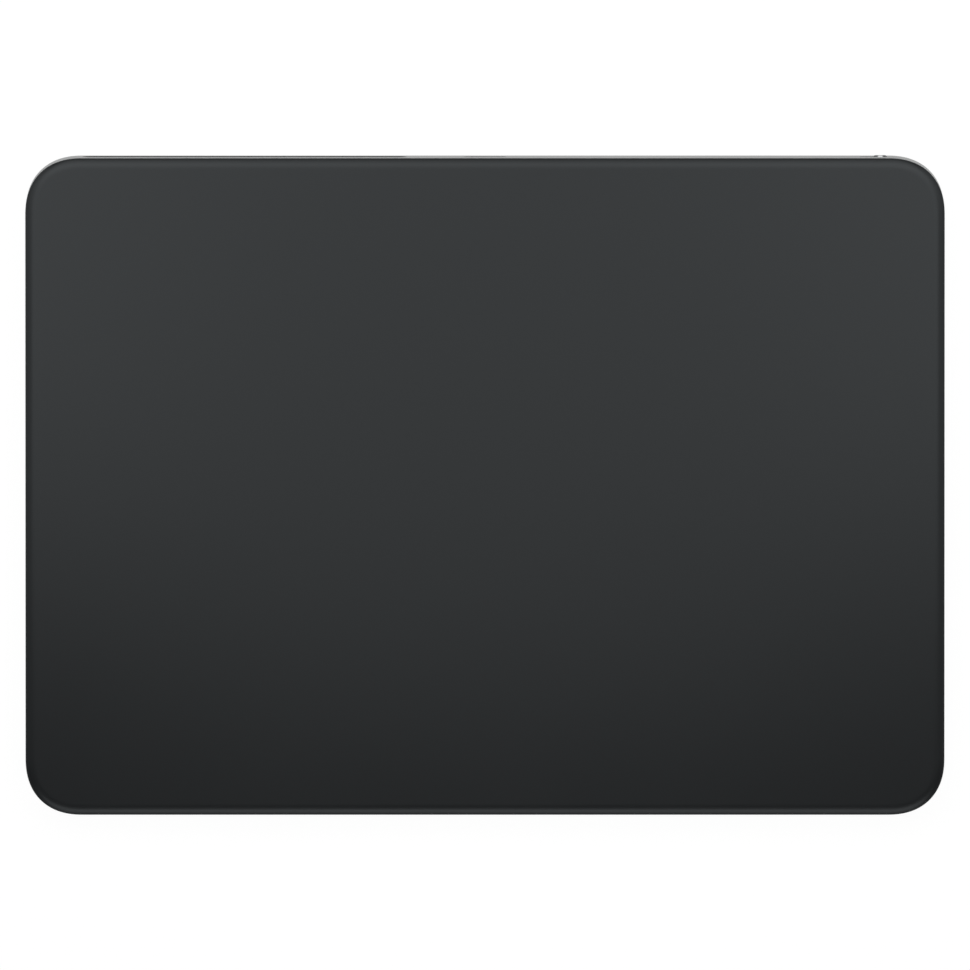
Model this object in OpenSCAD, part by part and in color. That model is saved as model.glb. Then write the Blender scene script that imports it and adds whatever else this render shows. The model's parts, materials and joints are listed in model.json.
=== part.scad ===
// Wireless trackpad: a sloping glass touch surface on a machined aluminium housing.
// The housing stands on four force-sensing feet and holds a haptic actuator under the surface.
// Millimetres, +Z up, +Y to the rear. The origin is on the desk, under the middle of the part.

/* [Overall size] */
// Width of the glass and the housing
glass_w = 160; // [150:0.5:180]
// Depth of the glass along its slope
glass_d = 114.5; // [106:0.5:130]
// Height of the glass over the desk at the front edge
front_h = 4.9; // [4.6:0.1:6]
// Height of the glass over the desk at the rear edge
rear_h = 10.9; // [10:0.1:13]
// Radius of the four corners seen from above
corner_r = 9; // [7:0.5:11]

/* [Glass and touch sensor] */
// Thickness of the cover glass
glass_t = 1; // [0.8:0.05:1.3]
// Radius of the rounded upper edge of the glass
glass_edge_r = 0.85; // [0.3:0.05:0.95]
// Thickness of an adhesive layer
bond_t = 0.1; // [0.05:0.01:0.2]
// Distance from the edge of the glass to its adhesive
bond_inset = 0.5; // [0.3:0.1:1]
// Thickness of the touch sensor board
sensor_t = 0.5; // [0.3:0.05:0.8]
// Width of the housing rim around the touch sensor board
sensor_rim = 2.4; // [1.8:0.1:4]

/* [Housing] */
// Thickness of the side walls
wall_t = 3.4; // [3:0.1:4]
// Thickness of the plate under the touch sensor board
web_t = 0.7; // [0.5:0.05:1]
// Thickness of the rear wall where it is hollowed behind an opening
skin_t = 1.2; // [0.8:0.1:1.6]
// Bevel round the lower outer edge
bottom_edge = 0.5; // [0.2:0.1:0.8]
// Gap between the desk and the housing
foot_h = 0.7; // [0.5:0.05:1]
// Gap between a piece and the pocket that it sits in
fit = 0.1; // [0.05:0.01:0.15]

/* [Bottom cover] */
// Thickness of the bottom cover
cover_t = 0.7; // [0.5:0.05:0.9]
// Width of the housing rim around the bottom cover
cover_rim = 2; // [1.6:0.1:2.4]
// Width of the adhesive frame on the bottom cover
cover_bond_w = 1; // [0.6:0.1:1.2]

/* [Feet and leaf springs] */
// Radius of a foot
foot_r = 4.5; // [3.5:0.1:5.5]
// Distance from the side of the housing to the middle of a foot
foot_side = 14; // [12:0.5:18]
// Distance from the front or rear of the housing to the middle of a foot
foot_end = 14; // [12.5:0.5:16]
// Thickness of a rubber foot pad
pad_t = 1; // [0.8:0.05:1.3]
// Bevel round the lower edge of a foot pad
pad_edge = 0.2; // [0.1:0.05:0.4]
// Gap between a foot and its hole in the bottom cover
foot_gap = 0.3; // [0.2:0.05:0.5]
// Step from the edge of a foot pad to its carrier
carrier_step = 0.4; // [0.2:0.1:0.8]
// Thickness of a leaf spring
leaf_t = 0.4; // [0.3:0.05:0.5]
// Width of a leaf spring
leaf_w = 8; // [7:0.5:8.5]
// Distance from the middle of a foot to the far screw of its leaf spring
leaf_len = 24; // [22:0.5:28]
// Distance between the two screws of a leaf spring
leaf_pitch = 6; // [5:0.5:7]
// Gap between the bottom cover and a leaf spring
leaf_gap = 0.5; // [0.45:0.05:0.6]
// Depth of the waist in each side of a leaf spring
leaf_waist = 1.2; // [0.5:0.1:2]
// Radius of the rivet that holds a foot on its leaf spring
rivet_r = 1; // [0.6:0.1:1.5]
// Height of the rivet head over the leaf spring
rivet_head = 0.2; // [0.1:0.05:0.25]
// Length of a strain gauge
gauge_len = 5; // [3:0.5:6]
// Width of a strain gauge
gauge_w = 3; // [2:0.5:4]
// Thickness of a strain gauge
gauge_t = 0.1; // [0.05:0.01:0.15]

/* [Screws and ribbons] */
// Radius of the screw threads
screw_r = 0.6; // [0.5:0.05:0.7]
// Radius of the screw heads
head_r = 1.25; // [1:0.05:1.5]
// Height of the screw heads
head_h = 0.35; // [0.25:0.05:0.4]
// Length of thread that a screw has in its boss
grip = 0.8; // [0.5:0.05:0.9]
// Gap between a screw and its hole
thread_gap = 0.05; // [0.02:0.01:0.1]
// Radius of a screw boss
boss_r = 1.8; // [1.5:0.1:2.2]
// Thickness of a ribbon
ribbon_t = 0.12; // [0.08:0.01:0.2]
// Width of a ribbon between the rear boards
ribbon_w = 3; // [2:0.5:3.5]
// Width of a strain gauge ribbon
gauge_ribbon_w = 2; // [1:0.5:2.5]

/* [Charging port] */
// Depth of the rear openings under the top rim of the housing
port_drop = 4.5; // [4.4:0.1:5.5]
// Width of the port opening
port_w = 7.4; // [6.5:0.1:9]
// Height of the port opening
port_h = 2.2; // [1.8:0.1:2.6]
// Depth of the port behind the rear wall skin
port_depth = 7; // [6:0.25:8]
// Thickness of the port shell
shell_t = 0.3; // [0.2:0.05:0.4]
// Thickness of the plug stop at the back of the port
stop_t = 1.2; // [0.8:0.1:2]
// Thickness of the contact carrier on the floor of the port
tongue_t = 0.35; // [0.25:0.05:0.5]
// Number of contacts in the port
contacts = 8; // [4:1:8]
// Distance between two contacts
contact_pitch = 0.6; // [0.5:0.05:0.65]
// Width of a contact
contact_w = 0.3; // [0.2:0.05:0.35]
// Height of a contact over its carrier
contact_t = 0.15; // [0.1:0.05:0.3]
// Thickness of the port, switch and protection boards
small_board_t = 0.6; // [0.5:0.05:0.8]
// Depth of the port board
port_board_d = 7; // [6.5:0.25:8]
// Distance from the side of the port shell to a port screw
port_screw_out = 4; // [3:0.25:5]
// Distance from a screw to the end of the board that it holds
board_margin = 2.4; // [2:0.1:3]
// Thickness of the port bracket
bracket_t = 0.3; // [0.2:0.05:0.4]
// Width of the port bracket strap
bracket_w = 3.4; // [3:0.1:4]

/* [Power switch] */
// Distance from the right side to the middle of the switch slot
switch_side = 12.4; // [11.5:0.1:16]
// Width of the knob
knob_w = 2.25; // [1.8:0.05:2.6]
// Height of the knob
knob_h = 1.7; // [1.4:0.05:1.8]
// Distance that the knob stands out of the rear wall
knob_proud = 0.25; // [0.2:0.05:0.6]
// Travel of the knob
knob_travel = 2.4; // [1.5:0.1:2.6]
// Gap round the knob in its slot
knob_gap = 0.1; // [0.05:0.05:0.2]
// Width of the sliding plate behind the slot
slide_w = 7.4; // [7:0.1:8]
// Height of the sliding plate
slide_h = 3; // [2.6:0.1:3.4]
// Thickness of the sliding plate
slide_t = 0.6; // [0.5:0.05:0.7]
// Thickness of the indicator film on the sliding plate
film_t = 0.1; // [0.05:0.01:0.2]
// Width of the indicator film
film_w = 2.2; // [1.5:0.1:2.3]
// Width of the drive pin on the sliding plate
pin_w = 1.2; // [0.8:0.1:1.6]
// Height of the drive pin
pin_h = 1; // [0.8:0.1:1.4]
// Length of the drive pin
pin_len = 1.6; // [1.2:0.1:1.8]
// Width of the switch body
switch_w = 9; // [8:0.25:9.5]
// Depth of the switch body
switch_d = 3.4; // [3:0.1:4]
// Height of the switch body
switch_h = 3; // [2.6:0.1:3.2]
// Depth of the switch board
switch_board_d = 6; // [5.5:0.25:7]
// Distance between the two switch screws
switch_screw_pitch = 6.5; // [6:0.25:7]

/* [Antenna] */
// Distance from the left side to the end of the antenna window
window_side = 9.9; // [9.5:0.1:14]
// Length of the antenna window
window_len = 56.5; // [40:0.5:58]
// Height of the antenna window
window_h = 3.6; // [2:0.1:3.8]
// Width of the flange round the inside of the antenna window
window_flange = 0.9; // [0.5:0.1:1]
// Thickness of the flange of the antenna window
flange_t = 0.8; // [0.5:0.1:1]
// Distance that the antenna window lies under the face of the wall
window_sunk = 0.01; // [0:0.01:0.1]
// Thickness of the antenna strip
antenna_t = 0.2; // [0.1:0.05:0.3]
// Radius of the antenna cable
cable_r = 0.5; // [0.4:0.05:0.6]
// Bend radius of the antenna cable
cable_bend = 0.8; // [0.7:0.05:1]

/* [Battery] */
// Width of the battery
battery_w = 110; // [90:1:114]
// Depth of the battery
battery_d = 30; // [24:0.5:32]
// Thickness of the battery
battery_t = 3.6; // [3:0.1:3.8]
// Radius of the corners of the battery
battery_r = 2; // [1:0.5:4]
// Thickness of the battery tape
tape_t = 0.15; // [0.1:0.01:0.2]
// Width of a strip of battery tape
tape_w = 30; // [20:1:40]
// Width of the protection board
protect_w = 30; // [20:1:34]
// Depth of the protection board
protect_d = 3; // [2.5:0.1:3.2]
// Height of the protection board with its parts
protect_h = 1.6; // [1.2:0.1:2]

/* [Haptic actuator] */
// Width of the actuator
haptic_w = 48; // [44:0.5:52]
// Depth of the actuator
haptic_d = 20; // [18:0.25:21]
// Thickness of the walls of the actuator frame
haptic_wall = 0.6; // [0.4:0.05:0.8]
// Thickness of the back plate of the actuator
haptic_back = 0.4; // [0.3:0.05:0.5]
// Thickness of the coils
coil_t = 0.6; // [0.4:0.05:0.7]
// Width of a coil
coil_w = 15; // [13:0.25:16]
// Depth of a coil
coil_d = 13; // [11:0.25:14]
// Width of the winding of a coil
coil_band = 3.5; // [3:0.25:4]
// Thickness of the sliding mass
mass_t = 0.8; // [0.6:0.05:0.9]
// Width of the sliding mass
mass_w = 34; // [32:0.25:36]
// Depth of the sliding mass
mass_d = 16.5; // [15:0.25:17]
// Running gap over and under the sliding mass
mass_gap = 0.2; // [0.15:0.01:0.25]
// Width of a magnet
magnet_w = 3; // [2:0.1:3.4]
// Depth of a magnet
magnet_d = 12; // [10:0.25:13]
// Thickness of the springs at the ends of the mass
spring_t = 0.25; // [0.15:0.05:0.35]
// Thickness of the actuator cover plate
haptic_lid = 0.3; // [0.2:0.05:0.35]
// Distance from the middle to the screw ears
ear_out = 20; // [17:0.25:21]
// Radius of a screw ear
ear_r = 2; // [1.7:0.1:2.1]
// Height of the bosses under the screw ears
ear_drop = 0.9; // [0.7:0.05:1.1]

/* [Logic board] */
// Width of the logic board
board_w = 34; // [31:0.5:36]
// Depth of the logic board
board_d = 21; // [19:0.25:22]
// Thickness of the logic board
board_t = 0.8; // [0.6:0.05:1]
// Gap between the plate and the logic board
board_gap = 0.5; // [0.4:0.05:0.6]
// Distance from the edges of the logic board to its screws
board_inset = 2.2; // [2:0.1:2.6]
// Height of the parts on the logic board
parts_h = 0.8; // [0.6:0.05:1]
// Width of the wireless shield
shield_w = 12; // [10:0.25:13]
// Depth of the wireless shield
shield_d = 9; // [7:0.25:9.5]
// Thickness of the wireless shield sheet
shield_t = 0.2; // [0.1:0.05:0.3]
// Distance from the rear edge of the logic board to its sockets
socket_inset = 2; // [1.5:0.1:2.5]
// Depth of the touch ribbon socket
socket_d = 2; // [1.5:0.1:2.5]
// Depth of the antenna cable socket
coax_d = 3; // [2:0.1:4]
// Width of the touch ribbon
touch_w = 11; // [8:0.5:12]
// Width of the slot that the touch ribbon drops through
touch_slot = 1.6; // [1.2:0.1:2]

/* [Layout] */
// Gap between neighbours inside the housing
lane = 1; // [0.8:0.05:1.2]

/* [Hidden] */
$fn = 64;
cut = 1;
axis_sides = [-1, 1];

// Slope of the deck, and the deck's own frame: its origin is the middle of the glass top
tilt = asin((rear_h - front_h) / glass_d);
mid_h = (front_h + rear_h) / 2;
edge_r = min(glass_edge_r, glass_t * 0.95);
rear_y = glass_d / 2;
rim_z = -glass_t - bond_t;
pocket_z = rim_z - sensor_t - bond_t;
web_z = pocket_z - web_t;
cavity_rear = rear_y - wall_t;
port_z = rim_z - port_drop;

// Place of the deck over the desk, so that the whole part is centred on the origin
knob_reach = (rear_y + knob_proud) * cos(tilt) - (port_z - knob_h / 2) * sin(tilt);
wall_reach = rear_y * cos(tilt) + (mid_h - foot_h + rear_y * sin(tilt)) * tan(tilt);
front_reach = rear_y * cos(tilt) - edge_r * (cos(tilt) + sin(tilt) - 1);
deck_y = (front_reach - max(knob_reach, wall_reach)) / 2;

// The housing's footprint, where its walls meet the level of its underside
base_d = glass_d / cos(tilt);
base_y = deck_y + (mid_h - foot_h) * tan(tilt);
ledge_h = cover_t + bond_t;

// Levels of the leaf springs over the desk, and the plate's underside over any point of the desk
leaf_z = foot_h + cover_t + leaf_gap;
leaf_top = leaf_z + leaf_t;
function web_over(y) = mid_h + web_z / cos(tilt) + (y - deck_y) * tan(tilt);
function deck_of(y) = (y - deck_y) * cos(tilt) + (web_over(y) - mid_h) * sin(tilt);
foot_x = glass_w / 2 - foot_side;
function foot_y(end) = base_y + end * (base_d / 2 - foot_end);
anchor = leaf_len - leaf_pitch / 2;
waist_x = (leaf_len - leaf_pitch) / 2;
post_x = foot_x - anchor;
post_end = leaf_pitch / 2 + leaf_w / 2;
rear_post = deck_of(foot_y(1));
front_post = deck_of(foot_y(-1));

// Rows of parts under the plate, from the rear posts forward
battery_front = rear_post - leaf_w / 2 - lane - battery_d;
protect_front = battery_front - protect_d;
haptic_y = protect_front - lane - 2 * ear_r - haptic_d / 2;
board_y = haptic_y - board_d / 2;
board_rear = board_y + board_d;
socket_rear = board_rear - socket_inset;
socket_front = socket_rear - socket_d;
board_z = web_z - board_gap - board_t;
parts_z = board_z - parts_h;
lane_x = max(battery_w / 2, post_x + post_end) + lane;
port_lane = -lane_x - gauge_ribbon_w - lane - ribbon_w;
cable_x = port_lane - lane - cable_r;
board_x = cable_x - 3 * lane;
run_y = cavity_rear - lane - ribbon_w;

// Charging port
shell_w = port_w + 2 * shell_t;
shell_h = port_h + 2 * shell_t;
port_face = rear_y - skin_t;
port_back = port_face - port_depth;
port_board_z = port_z + shell_h / 2;
port_screw_x = shell_w / 2 + port_screw_out;
port_end = port_screw_x + board_margin;
port_board_y = cavity_rear - lane / 2 - port_board_d;
port_screw_y = port_board_y + port_board_d / 2;

// Power switch
switch_x = glass_w / 2 - switch_side;
knob_x = switch_x + knob_travel / 2;
slide_face = rear_y - skin_t - knob_gap;
switch_face = slide_face - slide_t - knob_gap;
switch_board_z = port_z + switch_h / 2;
switch_board_y = cavity_rear - lane / 3 - switch_board_d;
switch_screw_y = switch_board_y + board_margin - 0.5 * lane;
switch_screw_x = switch_x - knob_travel / 4;
switch_end = switch_screw_pitch / 2 + board_margin - lane / 2;

// Antenna
window_x = -glass_w / 2 + window_side + window_len / 2;
flange_len = window_len + 2 * window_flange;
flange_h = window_h + 2 * window_flange;
flange_face = rear_y - skin_t - flange_t;
antenna_face = flange_face - antenna_t;
cable_lane = web_z - cable_r;
cable_low = cable_lane - 2 * cable_bend - 4 * fit;
cable_turn = board_rear + lane + cable_r;

// Haptic actuator levels, from the plate down
coil_z = web_z - haptic_back - coil_t;
mass_z = coil_z - mass_gap - mass_t;
lid_z = mass_z - mass_gap - haptic_lid;
coil_x = mass_w / 4;

// Touch ribbon
touch_x = board_x + board_w / 2;
touch_y = board_rear + lane;

// Places of the screws under the plate
board_holes = [for (x = [board_inset, board_w - board_inset], y = [board_inset, board_d - board_inset])
  [board_x + x, board_y + y]];
haptic_holes = [for (x = axis_sides, y = axis_sides) [x * ear_out, haptic_y + y * (haptic_d / 2 + ear_r)]];
port_holes = [for (x = axis_sides) [x * port_screw_x, port_screw_y]];
switch_holes = [for (x = axis_sides) [switch_screw_x + x * switch_screw_pitch / 2, switch_screw_y]];
leaf_holes = [leaf_len - leaf_pitch, leaf_len];

CORNERS = [["front_left", -1, -1], ["front_right", 1, -1], ["rear_left", -1, 1], ["rear_right", 1, 1]];
FOOT_PIECES = ["foot_pad", "foot_carrier", "leaf_spring", "strain_gauge"];

// Shared shapes

// Puts children in the deck's frame
module on_deck() {
  translate([0, deck_y, mid_h]) rotate([tilt, 0, 0]) children();
}

// Puts children at a foot, with +X pointing from the foot to the far end of its leaf spring
module at_foot(side, end) {
  translate([side * foot_x, foot_y(end), 0]) rotate([0, 0, side > 0 ? 180 : 0]) children();
}

// A box between two opposite corners
module block(low, high) {
  translate(low) cube(high - low);
}

// Flat outline with four round corners
module rounded_rect(w, d, r) {
  square([w - 2 * r, d], center = true);
  square([w, d - 2 * r], center = true);
  for (x = axis_sides, y = axis_sides) translate([x * (w / 2 - r), y * (d / 2 - r)]) circle(r);
}

// Plate with four round corners
module slab(w, d, r, h) {
  linear_extrude(h) rounded_rect(w, d, r);
}

// Plate with the outline of the glass, pulled in by an inset
module deck_slab(inset, h) {
  slab(glass_w - 2 * inset, glass_d - 2 * inset, corner_r - inset, h);
}

// Plate with the outline of the housing's underside, pulled in by an inset
module base_slab(inset, h) {
  slab(glass_w - 2 * inset, base_d - 2 * inset, corner_r - inset, h);
}

// Flat outline with round ends, along X
module pill(len, h) {
  square([len - h, h], center = true);
  for (x = axis_sides) translate([x * (len - h) / 2, 0]) circle(h / 2);
}

// Upright plate with round ends that runs along Y from one depth to another
module rear_pill(x, z, len, h, from, to) {
  translate([x, to, z]) rotate([90, 0, 0]) linear_extrude(to - from) pill(len, h);
}

// Section through a plate whose upper edge is rounded, from its corner axis outwards
module edge_section(r, t, e) {
  square([r, t - e]);
  square([r - e, t]);
  intersection() {
    translate([r - e, t - e]) circle(e);
    square([r, t]);
  }
}

// Plate with round corners and a rounded upper edge all round
module rounded_plate(w, d, r, t, e) {
  for (x = axis_sides, y = axis_sides)
    translate([x * (w / 2 - r), y * (d / 2 - r), 0]) rotate_extrude() edge_section(r, t, e);
  for (turn = [0, 180]) rotate([0, 0, turn]) {
    translate([w / 2 - r, d / 2 - r, 0]) rotate([90, 0, 0])
      linear_extrude(d - 2 * r) edge_section(r, t, e);
    rotate([0, 0, 90]) translate([d / 2 - r, w / 2 - r, 0]) rotate([90, 0, 0])
      linear_extrude(w - 2 * r) edge_section(r, t, e);
  }
  translate([-(w / 2 - r), -(d / 2 - r), 0]) cube([w - 2 * r, d - 2 * r, t]);
}

// Block that spreads at 45 degrees from a bevelled foot, used to bevel a lower edge
module flared_block(w, d, r, bevel, h) {
  for (x = axis_sides, y = axis_sides)
    translate([x * (w / 2 - r), y * (d / 2 - r), 0]) cylinder(r1 = r - bevel, r2 = r - bevel + h, h = h);
  rotate([90, 0, 0]) linear_extrude(d - 2 * r, center = true) flare_section(w / 2 - bevel, h);
  rotate([90, 0, 90]) linear_extrude(w - 2 * r, center = true) flare_section(d / 2 - bevel, h);
}

module flare_section(half, h) {
  polygon([[-half, 0], [half, 0], [half + h, h], [-half - h, h]]);
}

// Screw that points up, with the underside of its head at z = 0
module screw(length) {
  difference() {
    translate([0, 0, -head_h]) cylinder(r = head_r, h = head_h);
    translate([0, 0, -head_h - cut]) cylinder(r = head_r / 2, h = cut + head_h / 2, $fn = 6);
  }
  cylinder(r = screw_r, h = length);
}

// Clearance hole for a screw
module screw_hole(length) {
  translate([0, 0, -cut]) cylinder(r = screw_r + thread_gap, h = cut + length + thread_gap);
}

// Boss that hangs from the plate down to a level
module boss(place, level) {
  translate([place.x, place.y, level]) cylinder(r = boss_r, h = web_z + web_t / 2 - level);
}

// Flat cut of a board with a hole at each screw
module drilled(holes) {
  difference() {
    children();
    for (p = holes) translate(p) circle(screw_r + thread_gap);
  }
}

// Round cable through points in one plane, with square turns
module cable(points, r, bend) {
  last = len(points) - 1;
  for (i = [0:last - 1]) {
    step = points[i + 1] - points[i];
    way = step / norm(step);
    start = points[i] + way * (i > 0 ? bend : 0);
    end = points[i + 1] - way * (i < last - 1 ? bend : 0);
    translate([start.x, start.y, 0]) rotate([0, 0, atan2(way.y, way.x)]) rotate([0, 90, 0])
      cylinder(r = r, h = norm(end - start));
  }
  for (i = [1:last - 1]) {
    into = (points[i] - points[i - 1]) / norm(points[i] - points[i - 1]);
    out = (points[i + 1] - points[i]) / norm(points[i + 1] - points[i]);
    centre = points[i] - into * bend + out * bend;
    first = cross(into, out) > 0 ? atan2(-out.y, -out.x) : atan2(into.y, into.x);
    translate([centre.x, centre.y, 0]) rotate([0, 0, first])
      rotate_extrude(angle = 90) translate([bend, 0]) circle(r);
  }
}

// Touch surface

module cover_glass() color("#2a2b2d") on_deck()
  translate([0, 0, -glass_t]) rounded_plate(glass_w, glass_d, corner_r, glass_t, edge_r);

module glass_bond() color("dimgray") on_deck() translate([0, 0, rim_z]) deck_slab(bond_inset, bond_t);

module touch_sensor_board() color("darkgreen") on_deck() translate([0, 0, rim_z - sensor_t])
  deck_slab(sensor_rim + fit, sensor_t);

// Slot through the plate for the touch ribbon
module touch_opening() {
  block([touch_x - touch_w / 2 - lane, touch_y - touch_slot / 2, web_z - cut],
    [touch_x + touch_w / 2 + lane, touch_y + touch_slot / 2, pocket_z + cut]);
}

module sensor_bond() color("gray") on_deck() difference() {
  translate([0, 0, pocket_z]) deck_slab(sensor_rim + fit, bond_t);
  touch_opening();
}

// Drops through the slot and folds forward under the logic board
module touch_ribbon() color("orange") on_deck() {
  low = parts_z - ribbon_t;
  left = touch_x - touch_w / 2;
  right = touch_x + touch_w / 2;
  block([left, touch_y, low], [right, touch_y + ribbon_t, pocket_z + bond_t]);
  block([left, socket_front, low], [right, touch_y + ribbon_t, parts_z]);
}

// Housing

// The bevel turns its corners a little tighter than the walls do, so that it narrows there
module housing_block() {
  intersection() {
    on_deck() translate([0, 0, rim_z - rear_h]) deck_slab(0, rear_h);
    translate([0, base_y, foot_h])
      flared_block(glass_w, base_d, corner_r - bottom_edge, bottom_edge, rear_h);
  }
}

module housing_hollows() {
  on_deck() translate([0, 0, pocket_z]) deck_slab(sensor_rim, sensor_t + bond_t + cut);
  on_deck() translate([0, 0, web_z - rear_h]) deck_slab(wall_t, rear_h);
  translate([0, base_y, foot_h - cut]) base_slab(cover_rim, cut + ledge_h);
}

// Post that carries the fixed end of one leaf spring
module leaf_post(side, end) {
  top = web_over(foot_y(end)) + web_t / 2;
  at_foot(side, end) translate([anchor, 0, leaf_top])
    linear_extrude(top - leaf_top) pill(2 * post_end, leaf_w);
}

module bosses() {
  for (p = board_holes) boss(p, web_z - board_gap);
  for (p = haptic_holes) boss(p, web_z - ear_drop);
  for (p = port_holes) boss(p, port_board_z + small_board_t);
  for (p = switch_holes) boss(p, switch_board_z + small_board_t);
}

module threads() {
  for (p = board_holes) translate([p.x, p.y, web_z - board_gap]) screw_hole(grip);
  for (p = haptic_holes) translate([p.x, p.y, web_z - ear_drop]) screw_hole(grip);
  for (p = port_holes) translate([p.x, p.y, port_board_z + small_board_t]) screw_hole(grip);
  for (p = switch_holes) translate([p.x, p.y, switch_board_z + small_board_t]) screw_hole(grip);
}

// Openings of the rear wall: a slot in the skin and a wider pocket behind it
module rear_openings() {
  outside = rear_y + cut;
  inside = cavity_rear - cut;
  rear_pill(0, port_z, port_w, port_h, inside, outside);
  rear_pill(0, port_z, shell_w + 2 * fit, shell_h + 2 * fit, inside, port_face);
  rear_pill(switch_x, port_z, knob_w + knob_travel + 2 * knob_gap, knob_h + 2 * knob_gap, inside, outside);
  reach = max(slide_w + knob_travel, switch_w) / 2 + 2 * knob_gap;
  rise = max(slide_h, switch_h) / 2 + 2 * knob_gap;
  block([switch_x - reach, inside, port_z - rise], [switch_x + reach, port_face, port_z + rise]);
  rear_pill(window_x, port_z, window_len, window_h, inside, outside);
  rear_pill(window_x, port_z, flange_len + 2 * fit, flange_h + 2 * fit, inside, port_face);
}

module housing() color("silver") difference() {
  union() {
    difference() {
      housing_block();
      housing_hollows();
    }
    for (c = CORNERS) leaf_post(c[1], c[2]);
    on_deck() bosses();
  }
  for (c = CORNERS) at_foot(c[1], c[2]) for (x = leaf_holes) translate([x, 0, leaf_top]) screw_hole(grip);
  on_deck() {
    threads();
    rear_openings();
    touch_opening();
  }
}

module bottom_cover() color("#3c3d40") difference() {
  translate([0, base_y, foot_h]) base_slab(cover_rim + fit, cover_t);
  for (c = CORNERS) at_foot(c[1], c[2]) cylinder(r = foot_r + foot_gap, h = foot_h + cover_t + cut);
}

module cover_bond() color("dimgray") translate([0, base_y, foot_h + cover_t]) difference() {
  outer = cover_rim + 2 * fit;
  inner = outer + cover_bond_w;
  base_slab(outer, bond_t);
  translate([0, 0, -cut]) base_slab(inner, bond_t + 2 * cut);
}

// Feet and force sensing

module foot_pad(side, end) color("#2b2b2d") at_foot(side, end) {
  cylinder(r1 = foot_r - pad_edge, r2 = foot_r, h = pad_edge);
  translate([0, 0, pad_edge]) cylinder(r = foot_r, h = pad_t - pad_edge);
}

// Disc under the leaf spring, with a rivet through the leaf
module foot_carrier(side, end) color("lightgray") at_foot(side, end) {
  translate([0, 0, pad_t]) cylinder(r = foot_r - carrier_step, h = leaf_z - pad_t);
  translate([0, 0, leaf_z]) cylinder(r = rivet_r, h = leaf_t + rivet_head);
  translate([0, 0, leaf_top]) cylinder(r = rivet_r * 1.5, h = rivet_head);
}

module leaf_spring(side, end) color("gainsboro") at_foot(side, end)
  translate([0, 0, leaf_z]) linear_extrude(leaf_t) difference() {
    translate([leaf_len / 2, 0]) pill(leaf_len + leaf_w, leaf_w);
    circle(rivet_r + thread_gap);
    for (x = leaf_holes) translate([x, 0]) circle(screw_r + thread_gap);
    for (y = axis_sides) translate([waist_x, y * (leaf_w / 2 + leaf_waist)]) circle(2 * leaf_waist);
  }

module strain_gauge(side, end) color("goldenrod") at_foot(side, end)
  translate([waist_x, 0, leaf_top + gauge_t / 2])
    cube([gauge_len, gauge_w, gauge_t], center = true);

module leaf_screws() color("darkgray") for (c = CORNERS) at_foot(c[1], c[2])
  for (x = leaf_holes) translate([x, 0, leaf_z]) screw(leaf_t + grip);

// Flat ribbon with a branch to each post, bonded under the plate and dropped to the logic board
module gauge_ribbon() color("orange") on_deck() {
  run = front_post + leaf_w / 2 + lane;
  board_mid = board_x + board_w / 2;
  run_start = min(board_mid, -post_x - gauge_ribbon_w / 2);
  translate([0, 0, web_z - ribbon_t]) linear_extrude(ribbon_t) {
    for (x = axis_sides) {
      lane_start = x > 0 ? lane_x : -lane_x - gauge_ribbon_w;
      lane_end = x > 0 ? run : board_rear;
      tab_start = x > 0 ? post_x + post_end : -lane_x;
      tab_rear = rear_post + gauge_ribbon_w / 2;
      translate([lane_start, lane_end]) square([gauge_ribbon_w, tab_rear - lane_end]);
      translate([tab_start, tab_rear - gauge_ribbon_w])
        square([lane_x - post_x - post_end, gauge_ribbon_w]);
      translate([x * post_x - gauge_ribbon_w / 2, run - lane]) square([gauge_ribbon_w, lane]);
    }
    translate([run_start, run]) square([lane_x + gauge_ribbon_w - run_start, gauge_ribbon_w]);
    translate([board_mid, run]) square([gauge_ribbon_w, board_y - run]);
  }
  block([-lane_x - gauge_ribbon_w, board_rear, board_z], [-lane_x, board_rear + ribbon_t, web_z]);
  block([board_mid, board_y - ribbon_t, board_z], [board_mid + gauge_ribbon_w, board_y, web_z]);
}

// Antenna

module antenna_window() color("#6f7073") on_deck() {
  rear_pill(window_x, port_z, window_len - 2 * fit, window_h - 2 * fit, port_face, rear_y - window_sunk);
  rear_pill(window_x, port_z, flange_len, flange_h, flange_face, port_face);
}

module antenna_strip() color("peru") on_deck()
  rear_pill(window_x, port_z, window_len, window_h, antenna_face, flange_face);

// Runs from the antenna up to the plate, forward along it, and down under the logic board
module antenna_cable() color("#303030") on_deck() translate([cable_x, 0, 0]) rotate([90, 0, 90])
  cable([[antenna_face, port_z], [run_y - lane, port_z], [run_y - lane, cable_lane],
    [cable_turn, cable_lane], [cable_turn, cable_low], [socket_front, cable_low]],
    cable_r, cable_bend);

// Charging port

module port_shell() color("gainsboro") on_deck() difference() {
  rear_pill(0, port_z, shell_w, shell_h, port_back, port_face);
  rear_pill(0, port_z, port_w, port_h, port_back - cut, port_face + cut);
}

tongue_z = port_z - port_h / 2 + tongue_t;
tongue_w = port_w - port_h;

// Stop at the back of the port, with a carrier for the contacts along the floor
module port_insert() color("#1c1c1e") on_deck() {
  rear_pill(0, port_z, port_w, port_h, port_back, port_back + stop_t);
  block([-tongue_w / 2, port_back, port_z - port_h / 2], [tongue_w / 2, port_face - lane, tongue_z]);
}

module port_contacts() color("gold") on_deck() for (i = [0:contacts - 1]) {
  x = (i - (contacts - 1) / 2) * contact_pitch;
  block([x - contact_w / 2, port_back + stop_t, tongue_z],
    [x + contact_w / 2, port_face - 2 * lane, tongue_z + contact_t]);
}

module port_board() color("darkgreen") on_deck() translate([0, 0, port_board_z])
  linear_extrude(small_board_t) drilled(port_holes)
    translate([-port_end, port_board_y]) square([2 * port_end, port_board_d]);

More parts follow.
